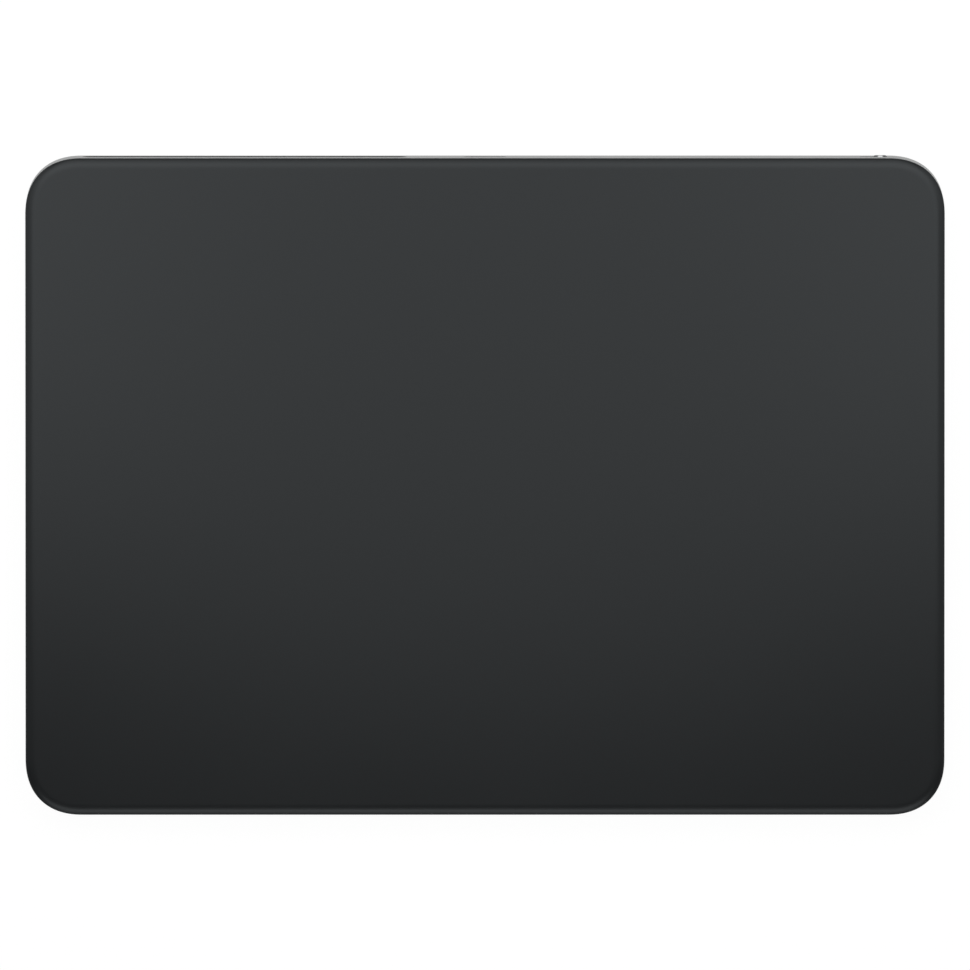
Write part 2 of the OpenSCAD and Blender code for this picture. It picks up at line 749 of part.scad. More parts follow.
// Strap under the port shell, with a foot on each side under the board
module port_bracket() color("silver") on_deck() difference() {
  side = shell_w / 2 + fit;
  floor = port_z - shell_h / 2;
  from = port_screw_y - bracket_w / 2;
  to = port_screw_y + bracket_w / 2;
  union() {
    block([-side - bracket_t, from, floor - bracket_t], [side + bracket_t, to, floor]);
    for (x = axis_sides) {
      inner = x > 0 ? side : -side - bracket_t;
      foot = x > 0 ? side : -port_end;
      block([inner, from, floor - bracket_t], [inner + bracket_t, to, port_board_z]);
      block([foot, from, port_board_z - bracket_t], [foot + port_end - side, to, port_board_z]);
    }
  }
  for (p = port_holes) translate([p.x, p.y, port_board_z - bracket_t]) screw_hole(bracket_t);
}

module port_screws() color("darkgray") on_deck() for (p = port_holes)
  translate([p.x, p.y, port_board_z - bracket_t]) screw(bracket_t + small_board_t + grip);

// Ribbon across the rear of the plate, with a drop at each end to a board
module rear_ribbon(left, left_low, right, right_low) {
  block([left, run_y, web_z - ribbon_t], [right, run_y + ribbon_w, web_z]);
  block([left, run_y, left_low], [left + ribbon_t, run_y + ribbon_w, web_z]);
  block([right - ribbon_t, run_y, right_low], [right, run_y + ribbon_w, web_z]);
}

// From the port board round the end of the battery to the edge of the logic board
module port_ribbon() color("orange") on_deck() {
  rear_ribbon(port_lane, web_z - ribbon_t, -port_end, port_board_z);
  block([port_lane, board_rear, web_z - ribbon_t], [port_lane + ribbon_w, run_y + ribbon_w, web_z]);
  block([port_lane, board_rear, board_z], [port_lane + ribbon_w, board_rear + ribbon_t, web_z]);
}

// Power switch

// Knob on a sliding plate, with a drive pin behind
module switch_knob() color("whitesmoke") on_deck() difference() {
  union() {
    rear_pill(knob_x, port_z, knob_w, knob_h, slide_face, rear_y + knob_proud);
    block([knob_x - slide_w / 2, slide_face - slide_t, port_z - slide_h / 2],
      [knob_x + slide_w / 2, slide_face, port_z + slide_h / 2]);
    block([knob_x - pin_w / 2, slide_face - slide_t - pin_len, port_z - pin_h / 2],
      [knob_x + pin_w / 2, slide_face - slide_t, port_z + pin_h / 2]);
  }
  film_place(cut);
}

// Recess of the indicator film, beside the knob
module film_place(above) {
  edge = knob_x - knob_w / 2 - knob_gap;
  block([edge - film_w, slide_face - film_t, port_z - slide_h / 2 + 2 * knob_gap],
    [edge, slide_face + above, port_z + slide_h / 2 - 2 * knob_gap]);
}

module switch_film() color("limegreen") on_deck() film_place(0);

module switch_body() color("#202022") on_deck() difference() {
  block([switch_x - switch_w / 2, switch_face - switch_d, port_z - switch_h / 2],
    [switch_x + switch_w / 2, switch_face, port_z + switch_h / 2]);
  reach = (pin_w + knob_travel) / 2 + 2 * knob_gap;
  rise = pin_h / 2 + 2 * knob_gap;
  block([switch_x - reach, switch_face - pin_len, port_z - rise],
    [switch_x + reach, switch_face + cut, port_z + rise]);
}

module switch_board() color("darkgreen") on_deck() translate([0, 0, switch_board_z])
  linear_extrude(small_board_t) drilled(switch_holes)
    translate([switch_screw_x - switch_end, switch_board_y]) square([2 * switch_end, switch_board_d]);

module switch_screws() color("darkgray") on_deck() for (p = switch_holes)
  translate([p.x, p.y, switch_board_z]) screw(small_board_t + grip);

// From the port board to the switch board
module switch_ribbon() color("orange") on_deck()
  rear_ribbon(port_end, port_board_z, switch_screw_x - switch_end, switch_board_z);

// Battery

battery_z = web_z - tape_t - battery_t;
protect_z = web_z - tape_t - protect_h;

module battery_cell() color("#4a4d52") on_deck() translate([0, battery_front + battery_d / 2, battery_z])
  slab(battery_w, battery_d, battery_r, battery_t);

module battery_tape() color("ivory") on_deck() for (x = axis_sides)
  translate([x * battery_w / 4, battery_front + battery_d / 2, web_z - tape_t])
    slab(tape_w, battery_d - 2 * battery_r, battery_r, tape_t);

module protection_board() color("seagreen") on_deck()
  block([-protect_w / 2, protect_front, protect_z], [protect_w / 2, battery_front, protect_z + protect_h]);

// From the protection board to the underside of the logic board
module battery_ribbon() color("orange") on_deck() {
  right = board_x + board_w - board_inset - head_r - lane / 2;
  left = right - ribbon_w;
  rear = protect_front + ribbon_w;
  translate([0, 0, board_z - ribbon_t]) linear_extrude(ribbon_t)
    polygon([[left, socket_rear], [right, socket_rear], [right, protect_front],
      [-protect_w / 2, protect_front], [-protect_w / 2, rear], [left, rear]]);
}

// Logic board, hung under the plate with its parts facing down

module logic_board() color("darkgreen") on_deck() translate([0, 0, board_z]) linear_extrude(board_t)
  drilled(board_holes) translate([board_x, board_y]) square([board_w, board_d]);

shield_x = board_x + 2 * board_inset + head_r;
shield_y = board_y + board_inset;

module wireless_shield() color("lightgray") on_deck() difference() {
  block([shield_x, shield_y, parts_z], [shield_x + shield_w, shield_y + shield_d, board_z]);
  block([shield_x + shield_t, shield_y + shield_t, parts_z + shield_t],
    [shield_x + shield_w - shield_t, shield_y + shield_d - shield_t, board_z + cut]);
}

// Controller beside the shield, and the radio under it
module logic_chips() color("#1a1a1c") on_deck() {
  chip_t = parts_h - 2 * shield_t;
  middle = shield_d / 2;
  gap = 2 * shield_t + lane;
  block([shield_x + gap, shield_y + gap, board_z - chip_t],
    [shield_x + shield_w - gap, shield_y + shield_d - gap, board_z]);
  for (i = [0, 1]) translate([shield_x + shield_w + lane + i * (middle + lane), shield_y])
    translate([0, 0, board_z - chip_t]) cube([middle, middle + i * lane, chip_t]);
}

// Sockets for the touch ribbon and the antenna cable
module board_connectors() color("ivory") on_deck() {
  block([touch_x - touch_w / 2, socket_front, parts_z], [touch_x + touch_w / 2, socket_rear, board_z]);
  block([cable_x - 2 * cable_r, socket_front - coax_d, cable_low - cable_r - fit],
    [cable_x + 2 * cable_r, socket_front, board_z]);
}

module board_screws() color("darkgray") on_deck() for (p = board_holes)
  translate([p.x, p.y, board_z]) screw(board_t + grip);

// Haptic actuator

module haptic_frame() color("slategray") on_deck() difference() {
  union() {
    translate([0, haptic_y, (lid_z + haptic_lid + web_z) / 2])
      cube([haptic_w, haptic_d, web_z - lid_z - haptic_lid], center = true);
    for (p = haptic_holes) translate([p.x, 0, web_z - ear_drop - haptic_wall]) {
      translate([0, p.y, 0]) cylinder(r = ear_r, h = haptic_wall);
      block([-ear_r, min(p.y, haptic_y), 0], [ear_r, max(p.y, haptic_y), haptic_wall]);
    }
  }
  translate([0, haptic_y, web_z - haptic_back - rear_h / 2])
    cube([haptic_w - 2 * haptic_wall, haptic_d - 2 * haptic_wall, rear_h], center = true);
  for (p = haptic_holes) translate([p.x, p.y, web_z - ear_drop - haptic_wall]) screw_hole(haptic_wall);
}

module haptic_coils() color("chocolate") on_deck() for (x = axis_sides)
  translate([x * coil_x, haptic_y, coil_z]) linear_extrude(coil_t) difference() {
    rounded_rect(coil_w, coil_d, coil_band);
    square([coil_w - 2 * coil_band, coil_d - 2 * coil_band], center = true);
  }

module magnet_outlines() {
  for (x = axis_sides, leg = axis_sides) translate([x * coil_x + leg * (coil_w - coil_band) / 2, 0])
    square([magnet_w, magnet_d], center = true);
}

module haptic_mass() color("dimgray") on_deck() translate([0, haptic_y, mass_z])
  linear_extrude(mass_t) difference() {
    square([mass_w, mass_d], center = true);
    magnet_outlines();
  }

module haptic_magnets() color("silver") on_deck()
  translate([0, haptic_y, mass_z]) linear_extrude(mass_t) magnet_outlines();

// Folded leaf at each end of the mass: one leg on the frame, one on the mass
module haptic_springs() color("lightsteelblue") on_deck() translate([0, haptic_y, mass_z])
  for (turn = [0, 180]) rotate([0, 0, turn]) {
    inner = mass_w / 2;
    outer = haptic_w / 2 - haptic_wall;
    half = mass_d / 2;
    block([inner, -half, 0], [inner + spring_t, half, mass_t]);
    block([outer - spring_t, -half, 0], [outer, half, mass_t]);
    block([inner, half - spring_t, 0], [outer, half, mass_t]);
  }

module haptic_lid_plate() color("lightgray") on_deck() translate([0, haptic_y, lid_z + haptic_lid / 2])
  cube([haptic_w, haptic_d, haptic_lid], center = true);

module haptic_screws() color("darkgray") on_deck() for (p = haptic_holes)
  translate([p.x, p.y, web_z - ear_drop - haptic_wall]) screw(haptic_wall + grip);

// From the actuator to the logic board, bonded under the plate
module haptic_ribbon() color("orange") on_deck()
  block([board_x + board_w - 2 * lane, haptic_y - ribbon_w, web_z - ribbon_t],
    [-haptic_w / 2, haptic_y, web_z]);

cover_glass();
glass_bond();
touch_sensor_board();
sensor_bond();
touch_ribbon();
housing();
bottom_cover();
cover_bond();
leaf_screws();
gauge_ribbon();
antenna_window();
antenna_strip();
antenna_cable();
port_shell();
port_insert();
port_contacts();
port_board();
port_bracket();
port_screws();
port_ribbon();
switch_knob();
switch_film();
switch_body();
switch_board();
switch_screws();
switch_ribbon();
battery_cell();
battery_tape();
protection_board();
battery_ribbon();
logic_board();
wireless_shield();
logic_chips();
board_connectors();
board_screws();
haptic_frame();
haptic_coils();
haptic_mass();
haptic_magnets();
haptic_springs();
haptic_lid_plate();
haptic_screws();
haptic_ribbon();
for (c = CORNERS) {
  foot_pad(c[1], c[2]);
  foot_carrier(c[1], c[2]);
  leaf_spring(c[1], c[2]);
  strain_gauge(c[1], c[2]);
}
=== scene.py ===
# %% [markdown]
# # A glass-topped trackpad
#
# The part is a sloping sheet of dark satin glass on a thin silver housing. Its solids come
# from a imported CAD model, which Blender loads as a frame that stays as it is. This lesson
# models the outside once more by hand, with the small rounded edges that catch the light.
# It keeps the solids for nearly everything inside, and gives every finish a material of nodes.

# %% Load the frame
import json
import math

import bmesh
import bpy
from mathutils import Matrix, Vector


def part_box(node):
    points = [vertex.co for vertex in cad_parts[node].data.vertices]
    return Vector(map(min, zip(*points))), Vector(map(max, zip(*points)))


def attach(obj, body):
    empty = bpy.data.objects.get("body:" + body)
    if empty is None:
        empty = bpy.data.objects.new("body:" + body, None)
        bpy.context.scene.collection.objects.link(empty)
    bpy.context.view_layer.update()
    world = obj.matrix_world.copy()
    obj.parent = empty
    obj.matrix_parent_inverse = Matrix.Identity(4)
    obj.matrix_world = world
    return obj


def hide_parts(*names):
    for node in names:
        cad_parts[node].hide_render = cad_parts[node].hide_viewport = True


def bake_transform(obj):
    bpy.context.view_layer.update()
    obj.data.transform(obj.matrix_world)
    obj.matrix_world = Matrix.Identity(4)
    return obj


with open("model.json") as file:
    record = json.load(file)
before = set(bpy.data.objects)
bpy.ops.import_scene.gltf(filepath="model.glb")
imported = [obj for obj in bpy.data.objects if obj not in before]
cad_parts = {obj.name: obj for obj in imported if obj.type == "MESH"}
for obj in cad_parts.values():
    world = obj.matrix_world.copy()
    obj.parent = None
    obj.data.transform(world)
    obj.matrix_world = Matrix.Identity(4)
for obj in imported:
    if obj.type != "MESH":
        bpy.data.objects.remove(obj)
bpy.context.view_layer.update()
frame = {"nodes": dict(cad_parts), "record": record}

# %% [markdown]
# ## The sloping deck
#
# The top falls from the rear edge to the front, and the walls stand square to it, so the
# rear wall leans a little. Each piece of the deck is easiest to model lying flat, with the
# middle of the glass at the origin. One matrix then turns it to the slope and lifts it. A
# small shift in Y keeps the middle of the whole box over the origin, and the middle of the
# underside lies a little further back, because the walls lean.
# Seen from above, the corners aren't plain quarter circles: the curve starts sooner and is a
# little fuller in its middle. A bevel's profile above 0.5 gives just that.

# %% Sizes of the deck
MM = 0.001
GLASS_WIDTH, GLASS_DEPTH, GLASS_THICK = 160 * MM, 114.5 * MM, 1 * MM
CORNER_RADIUS = 9 * MM
CORNER_SPAN, CORNER_PROFILE, ROUND_PROFILE = 10 * MM, 0.55, 0.5
RISE = 6 * MM
SLOPE = math.asin(RISE / GLASS_DEPTH)
DECK_Y, DECK_HEIGHT, BASE_Y = -0.3155 * MM, 7.9 * MM, 0.0623 * MM
DECK = Matrix.Translation((0, DECK_Y, DECK_HEIGHT)) @ Matrix.Rotation(SLOPE, 4, "X")
LEVEL = Matrix.Translation((0, BASE_Y, 0))
IN_PLACE = Matrix.Identity(4)
print("The deck slopes by", round(math.degrees(SLOPE), 2), "degrees")

# %% [markdown]
# ## Tools for modelling by hand
#
# A modeller adds a box, picks some of its edges and rounds them. In a script the picking is
# done by a test on each edge or face, such as where it lies. Everything is deselected first,
# because an operator acts on all that is selected.

# %% Add and place
def keep_only(part):
    """Selects one object alone and makes it the active one."""
    bpy.ops.object.select_all(action="DESELECT")
    part.select_set(True)
    bpy.context.view_layer.objects.active = part


def add_block(name, size, centre):
    """Adds a box at its size and place and opens it in edit mode."""
    bpy.ops.object.select_all(action="DESELECT")
    bpy.ops.mesh.primitive_cube_add(size=1, location=centre)
    block = bpy.context.object
    block.name = block.data.name = name
    block.scale = size
    bpy.ops.object.transform_apply(location=True, rotation=True, scale=True)
    bpy.ops.object.mode_set(mode="EDIT")
    return block


def close_mesh():
    """Leaves edit mode, if a mesh is open in it."""
    if bpy.context.object.mode == "EDIT":
        bpy.ops.object.mode_set(mode="OBJECT")


def reopen(part):
    """Opens a placed mesh again in edit mode."""
    keep_only(part)
    bpy.ops.object.mode_set(mode="EDIT")


def place(part, matrix):
    """Closes a mesh, moves it to its place on the object and keeps that in its points."""
    close_mesh()
    keep_only(part)
    part.matrix_world = matrix
    bpy.ops.object.transform_apply(location=True, rotation=True, scale=True)


print("The tools to add and place a mesh are ready")

# %% Choose and round
PLANE_TOLERANCE, MERGE_DISTANCE = 0.002 * MM, 0.0001 * MM


def choose(kind, test):
    """Selects the edges or faces of the open mesh that pass a test, and nothing else."""
    bpy.ops.mesh.select_mode(type=kind)
    bpy.ops.mesh.select_all(action="DESELECT")
    mesh = bmesh.from_edit_mesh(bpy.context.object.data)
    mesh.normal_update()
    chosen = [item for item in (mesh.edges if kind == "EDGE" else mesh.faces) if test(item)]
    for item in chosen:
        item.select_set(True)
    bmesh.update_edit_mesh(bpy.context.object.data)
    return len(chosen)


def lies_at(level, normal=(0, 0, 1), origin=(0, 0, 0)):
    """A test for edges and faces that lie in one plane, square to a direction."""
    def off_plane(vertex):
        return abs((vertex.co - Vector(origin)).dot(Vector(normal)) - level)

    return lambda item: all(off_plane(vertex) < PLANE_TOLERANCE for vertex in item.verts)


def is_upright(edge):
    """True for the edges of a flat-lying block that don't lie flat."""
    return edge.verts[0].co.z != edge.verts[1].co.z


def round_edges(test, radius, steps, profile=ROUND_PROFILE):
    """Rounds the edges that pass a test, over a number of small steps."""
    count = choose("EDGE", test)
    bpy.ops.mesh.bevel(offset=radius, segments=steps, profile=profile, affect="EDGES")
    return count


def rounded_block(name, width, depth, low, high, radius, steps=32, profile=ROUND_PROFILE):
    """Adds a box whose four upright edges are round."""
    block = add_block(name, (width, depth, high - low), (0, 0, (low + high) / 2))
    round_edges(is_upright, radius, steps, profile)
    bpy.ops.mesh.select_all(action="SELECT")
    bpy.ops.mesh.remove_doubles(threshold=MERGE_DISTANCE)
    return block


print("Points within", PLANE_TOLERANCE / MM, "mm of a plane count as lying in it")

# %% [markdown]
# ## Finishing a mesh
#
# Smooth shading bends the light over the small steps of a round edge. Left alone it also
# bends it over the flat faces beside them, so a Weighted Normal modifier gives the large
# flat faces the say. Each finished piece rides on a body of the frame, takes a slot of the
# record for its finish, and stands for the solid that it replaces.

# %% Shade, modify and seat
NEW_PIECES = []
SHARP_ANGLE = math.radians(30)


def modify(part, kind, **settings):
    """Adds one modifier with its settings and applies it."""
    keep_only(part)
    step = part.modifiers.new(kind.title(), kind)
    for name, value in settings.items():
        setattr(step, name, value)
    bpy.ops.object.modifier_apply(modifier=step.name)


def combine(part, tool, operation):
    """Cuts a tool out of a part or adds it, and then removes the tool."""
    close_mesh()
    modify(part, "BOOLEAN", object=tool, operation=operation, solver="EXACT")
    bpy.data.objects.remove(tool)


def shade(part):
    """Shades a piece smooth, apart from its sharp edges."""
    keep_only(part)
    bpy.ops.object.shade_smooth_by_angle(angle=SHARP_ANGLE)
    modify(part, "WEIGHTED_NORMAL", keep_sharp=True)


def copy_of(part, name):
    """Copies a finished piece, with a mesh of its own."""
    twin = part.copy()
    twin.data = part.data.copy()
    twin.name = twin.data.name = name
    bpy.context.scene.collection.objects.link(twin)
    return twin


def stand_for(part, slot, node):
    """Names a piece's slot and solid, and prints how the two compare."""
    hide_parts(node)
    NEW_PIECES.append((part, slot))
    ends = [(min(c[way] for c in part.bound_box), max(c[way] for c in part.bound_box)) for way in range(3)]
    reach = [round((last - first) / MM, 2) for first, last in ends]
    solid = [round((last - first) / MM, 2) for first, last in zip(*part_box(node))]
    print(part.name, "measures", reach, "mm and its solid", solid, "mm,", len(part.data.polygons), "faces")


def seat(part, body, slot, node):
    """Hands a finished piece to a body of the frame."""
    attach(part, body)
    stand_for(part, slot, node)


print("Edges over", round(math.degrees(SHARP_ANGLE)), "degrees stay sharp")

# %% [markdown]
# ## The cover glass
#
# One sheet of dark glass, etched to a satin finish, is the whole top. Its edge is ground to
# a curve that starts gently, falls away to a little under half a right angle and ends at a
# short upright side. A bevel is the same on both sides of its middle, so this curve is built
# from the side up: the top face is inset again and again, each time with the next bit of rise.

# %% Cover glass
EDGE_WIDTH, EDGE_TILT, EDGE_STEPS, EDGE_EASE = 2 * MM, math.radians(37), 22, 1.5
GLASS_INSET, CORNER_STEPS = 0.03 * MM, 40
FLAT_BORDER, SIDE_BREAK, LOWER_BREAK = 0.6 * MM, 0.06 * MM, 0.05 * MM
step_in = EDGE_WIDTH / EDGE_STEPS
rises = [step_in * math.tan(EDGE_TILT * (1 - (step + 0.5) / EDGE_STEPS) ** EDGE_EASE)
         for step in range(EDGE_STEPS)]
side_top = -sum(rises)
glass = rounded_block("satin_glass_top", GLASS_WIDTH - 2 * GLASS_INSET, GLASS_DEPTH - 2 * GLASS_INSET,
                      -GLASS_THICK, side_top, CORNER_SPAN - GLASS_INSET, CORNER_STEPS, CORNER_PROFILE)
choose("FACE", lies_at(side_top))
for rise in rises:
    bpy.ops.mesh.inset(thickness=step_in, depth=rise)
bpy.ops.mesh.inset(thickness=FLAT_BORDER)
round_edges(lies_at(side_top), SIDE_BREAK, 3)
round_edges(lies_at(-GLASS_THICK), LOWER_BREAK, 2)
place(glass, DECK)
shade(glass)
seat(glass, "base", "satin_glass", "cover_glass")

# %% [markdown]
# ## The housing
#
# The housing is one piece of aluminium, milled hollow from below. It could be drawn as a
# shell, but carving it as the mill does is simpler: a block with the slope of the deck is
# cut level at its underside, its lower edge is rounded, and three pockets are taken out.

# %% Carve the housing
RIM, BLOCK_FOOT = -1.1 * MM, -16 * MM
UNDERSIDE = 0.7 * MM
RIM_ROUND, LOWER_ROUND = 0.02 * MM, 0.5 * MM
BASE_DEPTH = GLASS_DEPTH / math.cos(SLOPE)
housing = rounded_block("aluminium_housing", GLASS_WIDTH, GLASS_DEPTH, BLOCK_FOOT, RIM,
                        CORNER_SPAN, CORNER_STEPS, CORNER_PROFILE)
round_edges(lies_at(RIM), RIM_ROUND, 2)
place(housing, DECK)
reopen(housing)
bpy.ops.mesh.select_all(action="SELECT")
bpy.ops.mesh.bisect(plane_co=(0, 0, UNDERSIDE), plane_no=(0, 0, 1), use_fill=True, clear_inner=True)
round_edges(lies_at(UNDERSIDE), LOWER_ROUND, 6)
close_mesh()

for tool_name, inset, low, high, matrix in (
        ("sensor_pocket", 2.4 * MM, -1.7 * MM, 0, DECK),
        ("cavity", 3.4 * MM, -20 * MM, -2.4 * MM, DECK),
        ("cover_recess", 2 * MM, 0, UNDERSIDE + 0.8 * MM, LEVEL)):
    depth = BASE_DEPTH if matrix is LEVEL else GLASS_DEPTH
    pocket = rounded_block(tool_name, GLASS_WIDTH - 2 * inset, depth - 2 * inset, low, high,
                           CORNER_RADIUS - inset, 24)
    place(pocket, matrix)
    combine(housing, pocket, "DIFFERENCE")
print("The carved housing has", len(housing.data.polygons), "faces")

# %% [markdown]
# ## Posts and bosses
#
# Inside, four posts carry the leaf springs of the feet, and small round bosses carry the
# boards and the actuator. They hang from the plate under the glass, and each has a blind
# hole for its screw. One set of cylinders is added as bosses, and a thinner set is cut out.

# %% Places inside the housing
FOOT_X, FOOT_Y = 66 * MM, 43.329 * MM
POST_X, POST_FOOT, POST_TOPS = 45 * MM, 2.3 * MM, {-1: 3.593 * MM, 1: 8.14 * MM}
POST_WIDTH, POST_DEPTH, POST_RADIUS = 14 * MM, 8 * MM, 4 * MM
BOSSES = [(-64.3, -17.659, -2.9), (-64.3, -1.059, -2.9), (-34.7, -17.659, -2.9), (-34.7, -1.059, -2.9),
          (-20, -21.359, -3.3), (-20, 2.641, -3.3), (20, -21.359, -3.3), (20, 2.641, -3.3),
          (-8, 49.85, -3.6), (8, 49.85, -3.6), (63.75, 49.417, -3.5), (70.25, 49.417, -3.5)]
BOSS_RADIUS, BOSS_TOP = 1.8 * MM, -2.05 * MM
THREAD_RADIUS, THREAD_DEPTH, THREAD_START, THREAD_STEPS = 0.65 * MM, 0.85 * MM, 1 * MM, 20
LEAF_SCREWS = (42 * MM, 48 * MM)
SLOT_SIZE, SLOT_PLACE = (13 * MM, 1.6 * MM, 3 * MM), (-49.5 * MM, 2.141 * MM, -2 * MM)
CORNERS = [(name, x, y) for y, end in ((-1, "front"), (1, "rear"))
           for x, name in ((-1, end + "_left"), (1, end + "_right"))]
print("There are", len(CORNERS), "posts and", len(BOSSES), "bosses")

# %% Posts and bosses
def add_pegs(name, radius, places, steps=32):
    """Adds upright cylinders to one mesh, each from a place's low level to its high level."""
    bpy.ops.object.select_all(action="DESELECT")
    for number, (x, y, low, high) in enumerate(places):
        bpy.ops.mesh.primitive_cylinder_add(vertices=steps, radius=radius, depth=high - low,
                                            location=(x, y, (low + high) / 2))
        if number == 0:
            pegs = bpy.context.object
            pegs.name = pegs.data.name = name
            bpy.ops.object.transform_apply(location=True, rotation=True, scale=True)
            bpy.ops.object.mode_set(mode="EDIT")
    return pegs


for corner, side, end in CORNERS:
    post = rounded_block("leaf_post", POST_WIDTH, POST_DEPTH, POST_FOOT, POST_TOPS[end], POST_RADIUS, 16)
    place(post, LEVEL @ Matrix.Translation((side * POST_X, end * FOOT_Y, 0)))
    combine(housing, post, "UNION")
bosses = add_pegs("bosses", BOSS_RADIUS, [(x * MM, y * MM, z * MM, BOSS_TOP) for x, y, z in BOSSES])
place(bosses, DECK)
combine(housing, bosses, "UNION")
print("With posts and bosses the housing has", len(housing.data.polygons), "faces")

# %% Screw holes and ribbon slot
threads = add_pegs("boss_threads", THREAD_RADIUS,
                   [(x * MM, y * MM, z * MM - THREAD_START, z * MM + THREAD_DEPTH) for x, y, z in BOSSES],
                   THREAD_STEPS)
place(threads, DECK)
combine(housing, threads, "DIFFERENCE")
threads = add_pegs("leaf_threads", THREAD_RADIUS,
                   [(side * x, end * FOOT_Y, POST_FOOT - THREAD_START, POST_FOOT + THREAD_DEPTH)
                    for corner, side, end in CORNERS for x in LEAF_SCREWS], THREAD_STEPS)
place(threads, LEVEL)
combine(housing, threads, "DIFFERENCE")
ribbon_slot = add_block("ribbon_slot", SLOT_SIZE, SLOT_PLACE)
place(ribbon_slot, DECK)
combine(housing, ribbon_slot, "DIFFERENCE")
print("With its screw holes it has", len(housing.data.polygons), "faces")

# %% [markdown]
# ## Openings of the rear wall
#
# The rear wall has three openings with round ends: the charging port in the middle, the slot
# of the power switch and the long antenna window. Each is a slot in the skin with a wider
# pocket behind it. A cutter with fully round ends is a rounded block turned to face the
# rear. The rims are then broken with a fine bevel, as a deburring tool leaves them.

# %% Cut the openings
REAR, SKIN_BACK, WALL_BACK = 57.25 * MM, 56.05 * MM, 52.85 * MM
PORT_LEVEL, CUT_PAST = -5.6 * MM, 1 * MM
SWITCH_X, WINDOW_X = 67.6 * MM, -41.85 * MM
FACE_REAR = Matrix.Rotation(math.radians(-90), 4, "X")


def rear_frame(x):
    """A frame on the rear wall whose third axis points straight out of it."""
    return DECK @ Matrix.Translation((x, 0, PORT_LEVEL)) @ FACE_REAR


def rear_pill(name, length, height, start, stop, steps=16):
    """Adds a block with fully round ends that runs from one depth of the wall to another."""
    return rounded_block(name, length, height, start, stop, height / 2, steps)


for name, x, length, height, back_length, back_height, back_radius in (
        ("port", 0, 7.4, 2.2, 8.2, 3, 1.5),
        ("switch", SWITCH_X, 4.85, 1.9, 10.2, 3.4, 0.3),
        ("window", WINDOW_X, 56.5, 3.6, 58.5, 5.6, 2.8)):
    skin_slot = rear_pill(name + "_slot", length * MM, height * MM, SKIN_BACK - CUT_PAST, REAR + CUT_PAST)
    place(skin_slot, rear_frame(x))
    combine(housing, skin_slot, "DIFFERENCE")
    back_pocket = rounded_block(name + "_pocket", back_length * MM, back_height * MM, WALL_BACK, SKIN_BACK,
                                back_radius * MM, 12)
    place(back_pocket, rear_frame(x))
    combine(housing, back_pocket, "DIFFERENCE")
print("With its openings it has", len(housing.data.polygons), "faces")

# %% Break the rims
RIM_BREAK, OPENING_REACH = 0.03 * MM, 2 * MM
REAR_WAY = DECK.to_3x3() @ Vector((0, 1, 0))
on_rear_wall = lies_at(REAR, REAR_WAY, DECK.translation)


def is_opening_rim(edge):
    """True for the edges where an opening meets the outer face of the rear wall."""
    heights = [(DECK.inverted() @ v.co).z - PORT_LEVEL for v in edge.verts]
    return on_rear_wall(edge) and max(map(abs, heights)) < OPENING_REACH


reopen(housing)
rims = round_edges(is_opening_rim, RIM_BREAK, 2)
close_mesh()
shade(housing)
seat(housing, "base", "silver_aluminium", "housing")
print("Broke", rims, "edges of the rear openings")

# %% [markdown]
# ## The antenna window
#
# Radio waves can't pass through aluminium, so a long plastic inlay fills a slot in the rear
# wall. It is moulded with a flange that sits behind the skin. The flange is modelled first,
# then its front face is inset and extruded through the slot, and the front rim is rounded.

# %% Antenna window
FLANGE_LENGTH, FLANGE_HEIGHT, FLANGE_WIDTH, FLANGE_BACK = 58.3 * MM, 5.4 * MM, 1 * MM, 55.25 * MM
WINDOW_RISE = REAR - SKIN_BACK - 0.005 * MM
window = rear_pill("antenna_inlay", FLANGE_LENGTH, FLANGE_HEIGHT, FLANGE_BACK, SKIN_BACK)
choose("FACE", lies_at(SKIN_BACK))
bpy.ops.mesh.inset(thickness=FLANGE_WIDTH)
bpy.ops.mesh.extrude_region_move(TRANSFORM_OT_translate={"value": (0, 0, WINDOW_RISE)})
round_edges(lies_at(SKIN_BACK + WINDOW_RISE), RIM_BREAK, 2)
place(window, rear_frame(WINDOW_X))
shade(window)
seat(window, "base", "window_plastic", "antenna_window")

# %% [markdown]
# ## The power knob
#
# A small aluminium knob slides in its slot. Behind the wall it is fixed to a plate that
# hides the slot's inside and carries a strip of film for the on position, and a pin at the
# back moves the switch. Knob, plate and pin move together, so they are one piece here.

# %% Power knob
KNOB_X, KNOB_FACE, KNOB_ROUND = 68.8 * MM, REAR + 0.25 * MM, 0.22 * MM
KNOB_LENGTH, KNOB_HEIGHT = 2.25 * MM, 1.7 * MM
PLATE_FRONT, PLATE_BACK, JOIN = 55.95 * MM, 55.35 * MM, 0.3 * MM
PIN_LENGTH = 1.6 * MM
FILM_BED, FILM_PLACE = (2.2 * MM, 2.6 * MM, 0.6 * MM), (-2.325 * MM, 0, PLATE_FRONT + 0.2 * MM)
knob = rear_pill("power_knob", KNOB_LENGTH, KNOB_HEIGHT, PLATE_FRONT - JOIN, KNOB_FACE, 24)
round_edges(lies_at(KNOB_FACE), KNOB_ROUND, 5)
place(knob, rear_frame(KNOB_X))
for name, width, height, start, stop, radius in (
        ("plate", 7.4, 3, PLATE_BACK, PLATE_FRONT, 0.3),
        ("pin", 1.2, 1, PLATE_BACK - PIN_LENGTH, PLATE_BACK + JOIN, 0.2)):
    backing = rounded_block("knob_" + name, width * MM, height * MM, start, stop, radius * MM, 6)
    place(backing, rear_frame(KNOB_X))
    combine(knob, backing, "UNION")
film_bed = add_block("film_bed", FILM_BED, FILM_PLACE)
place(film_bed, rear_frame(KNOB_X))
combine(knob, film_bed, "DIFFERENCE")
shade(knob)
seat(knob, "power_slider", "knob_aluminium", "switch_knob")

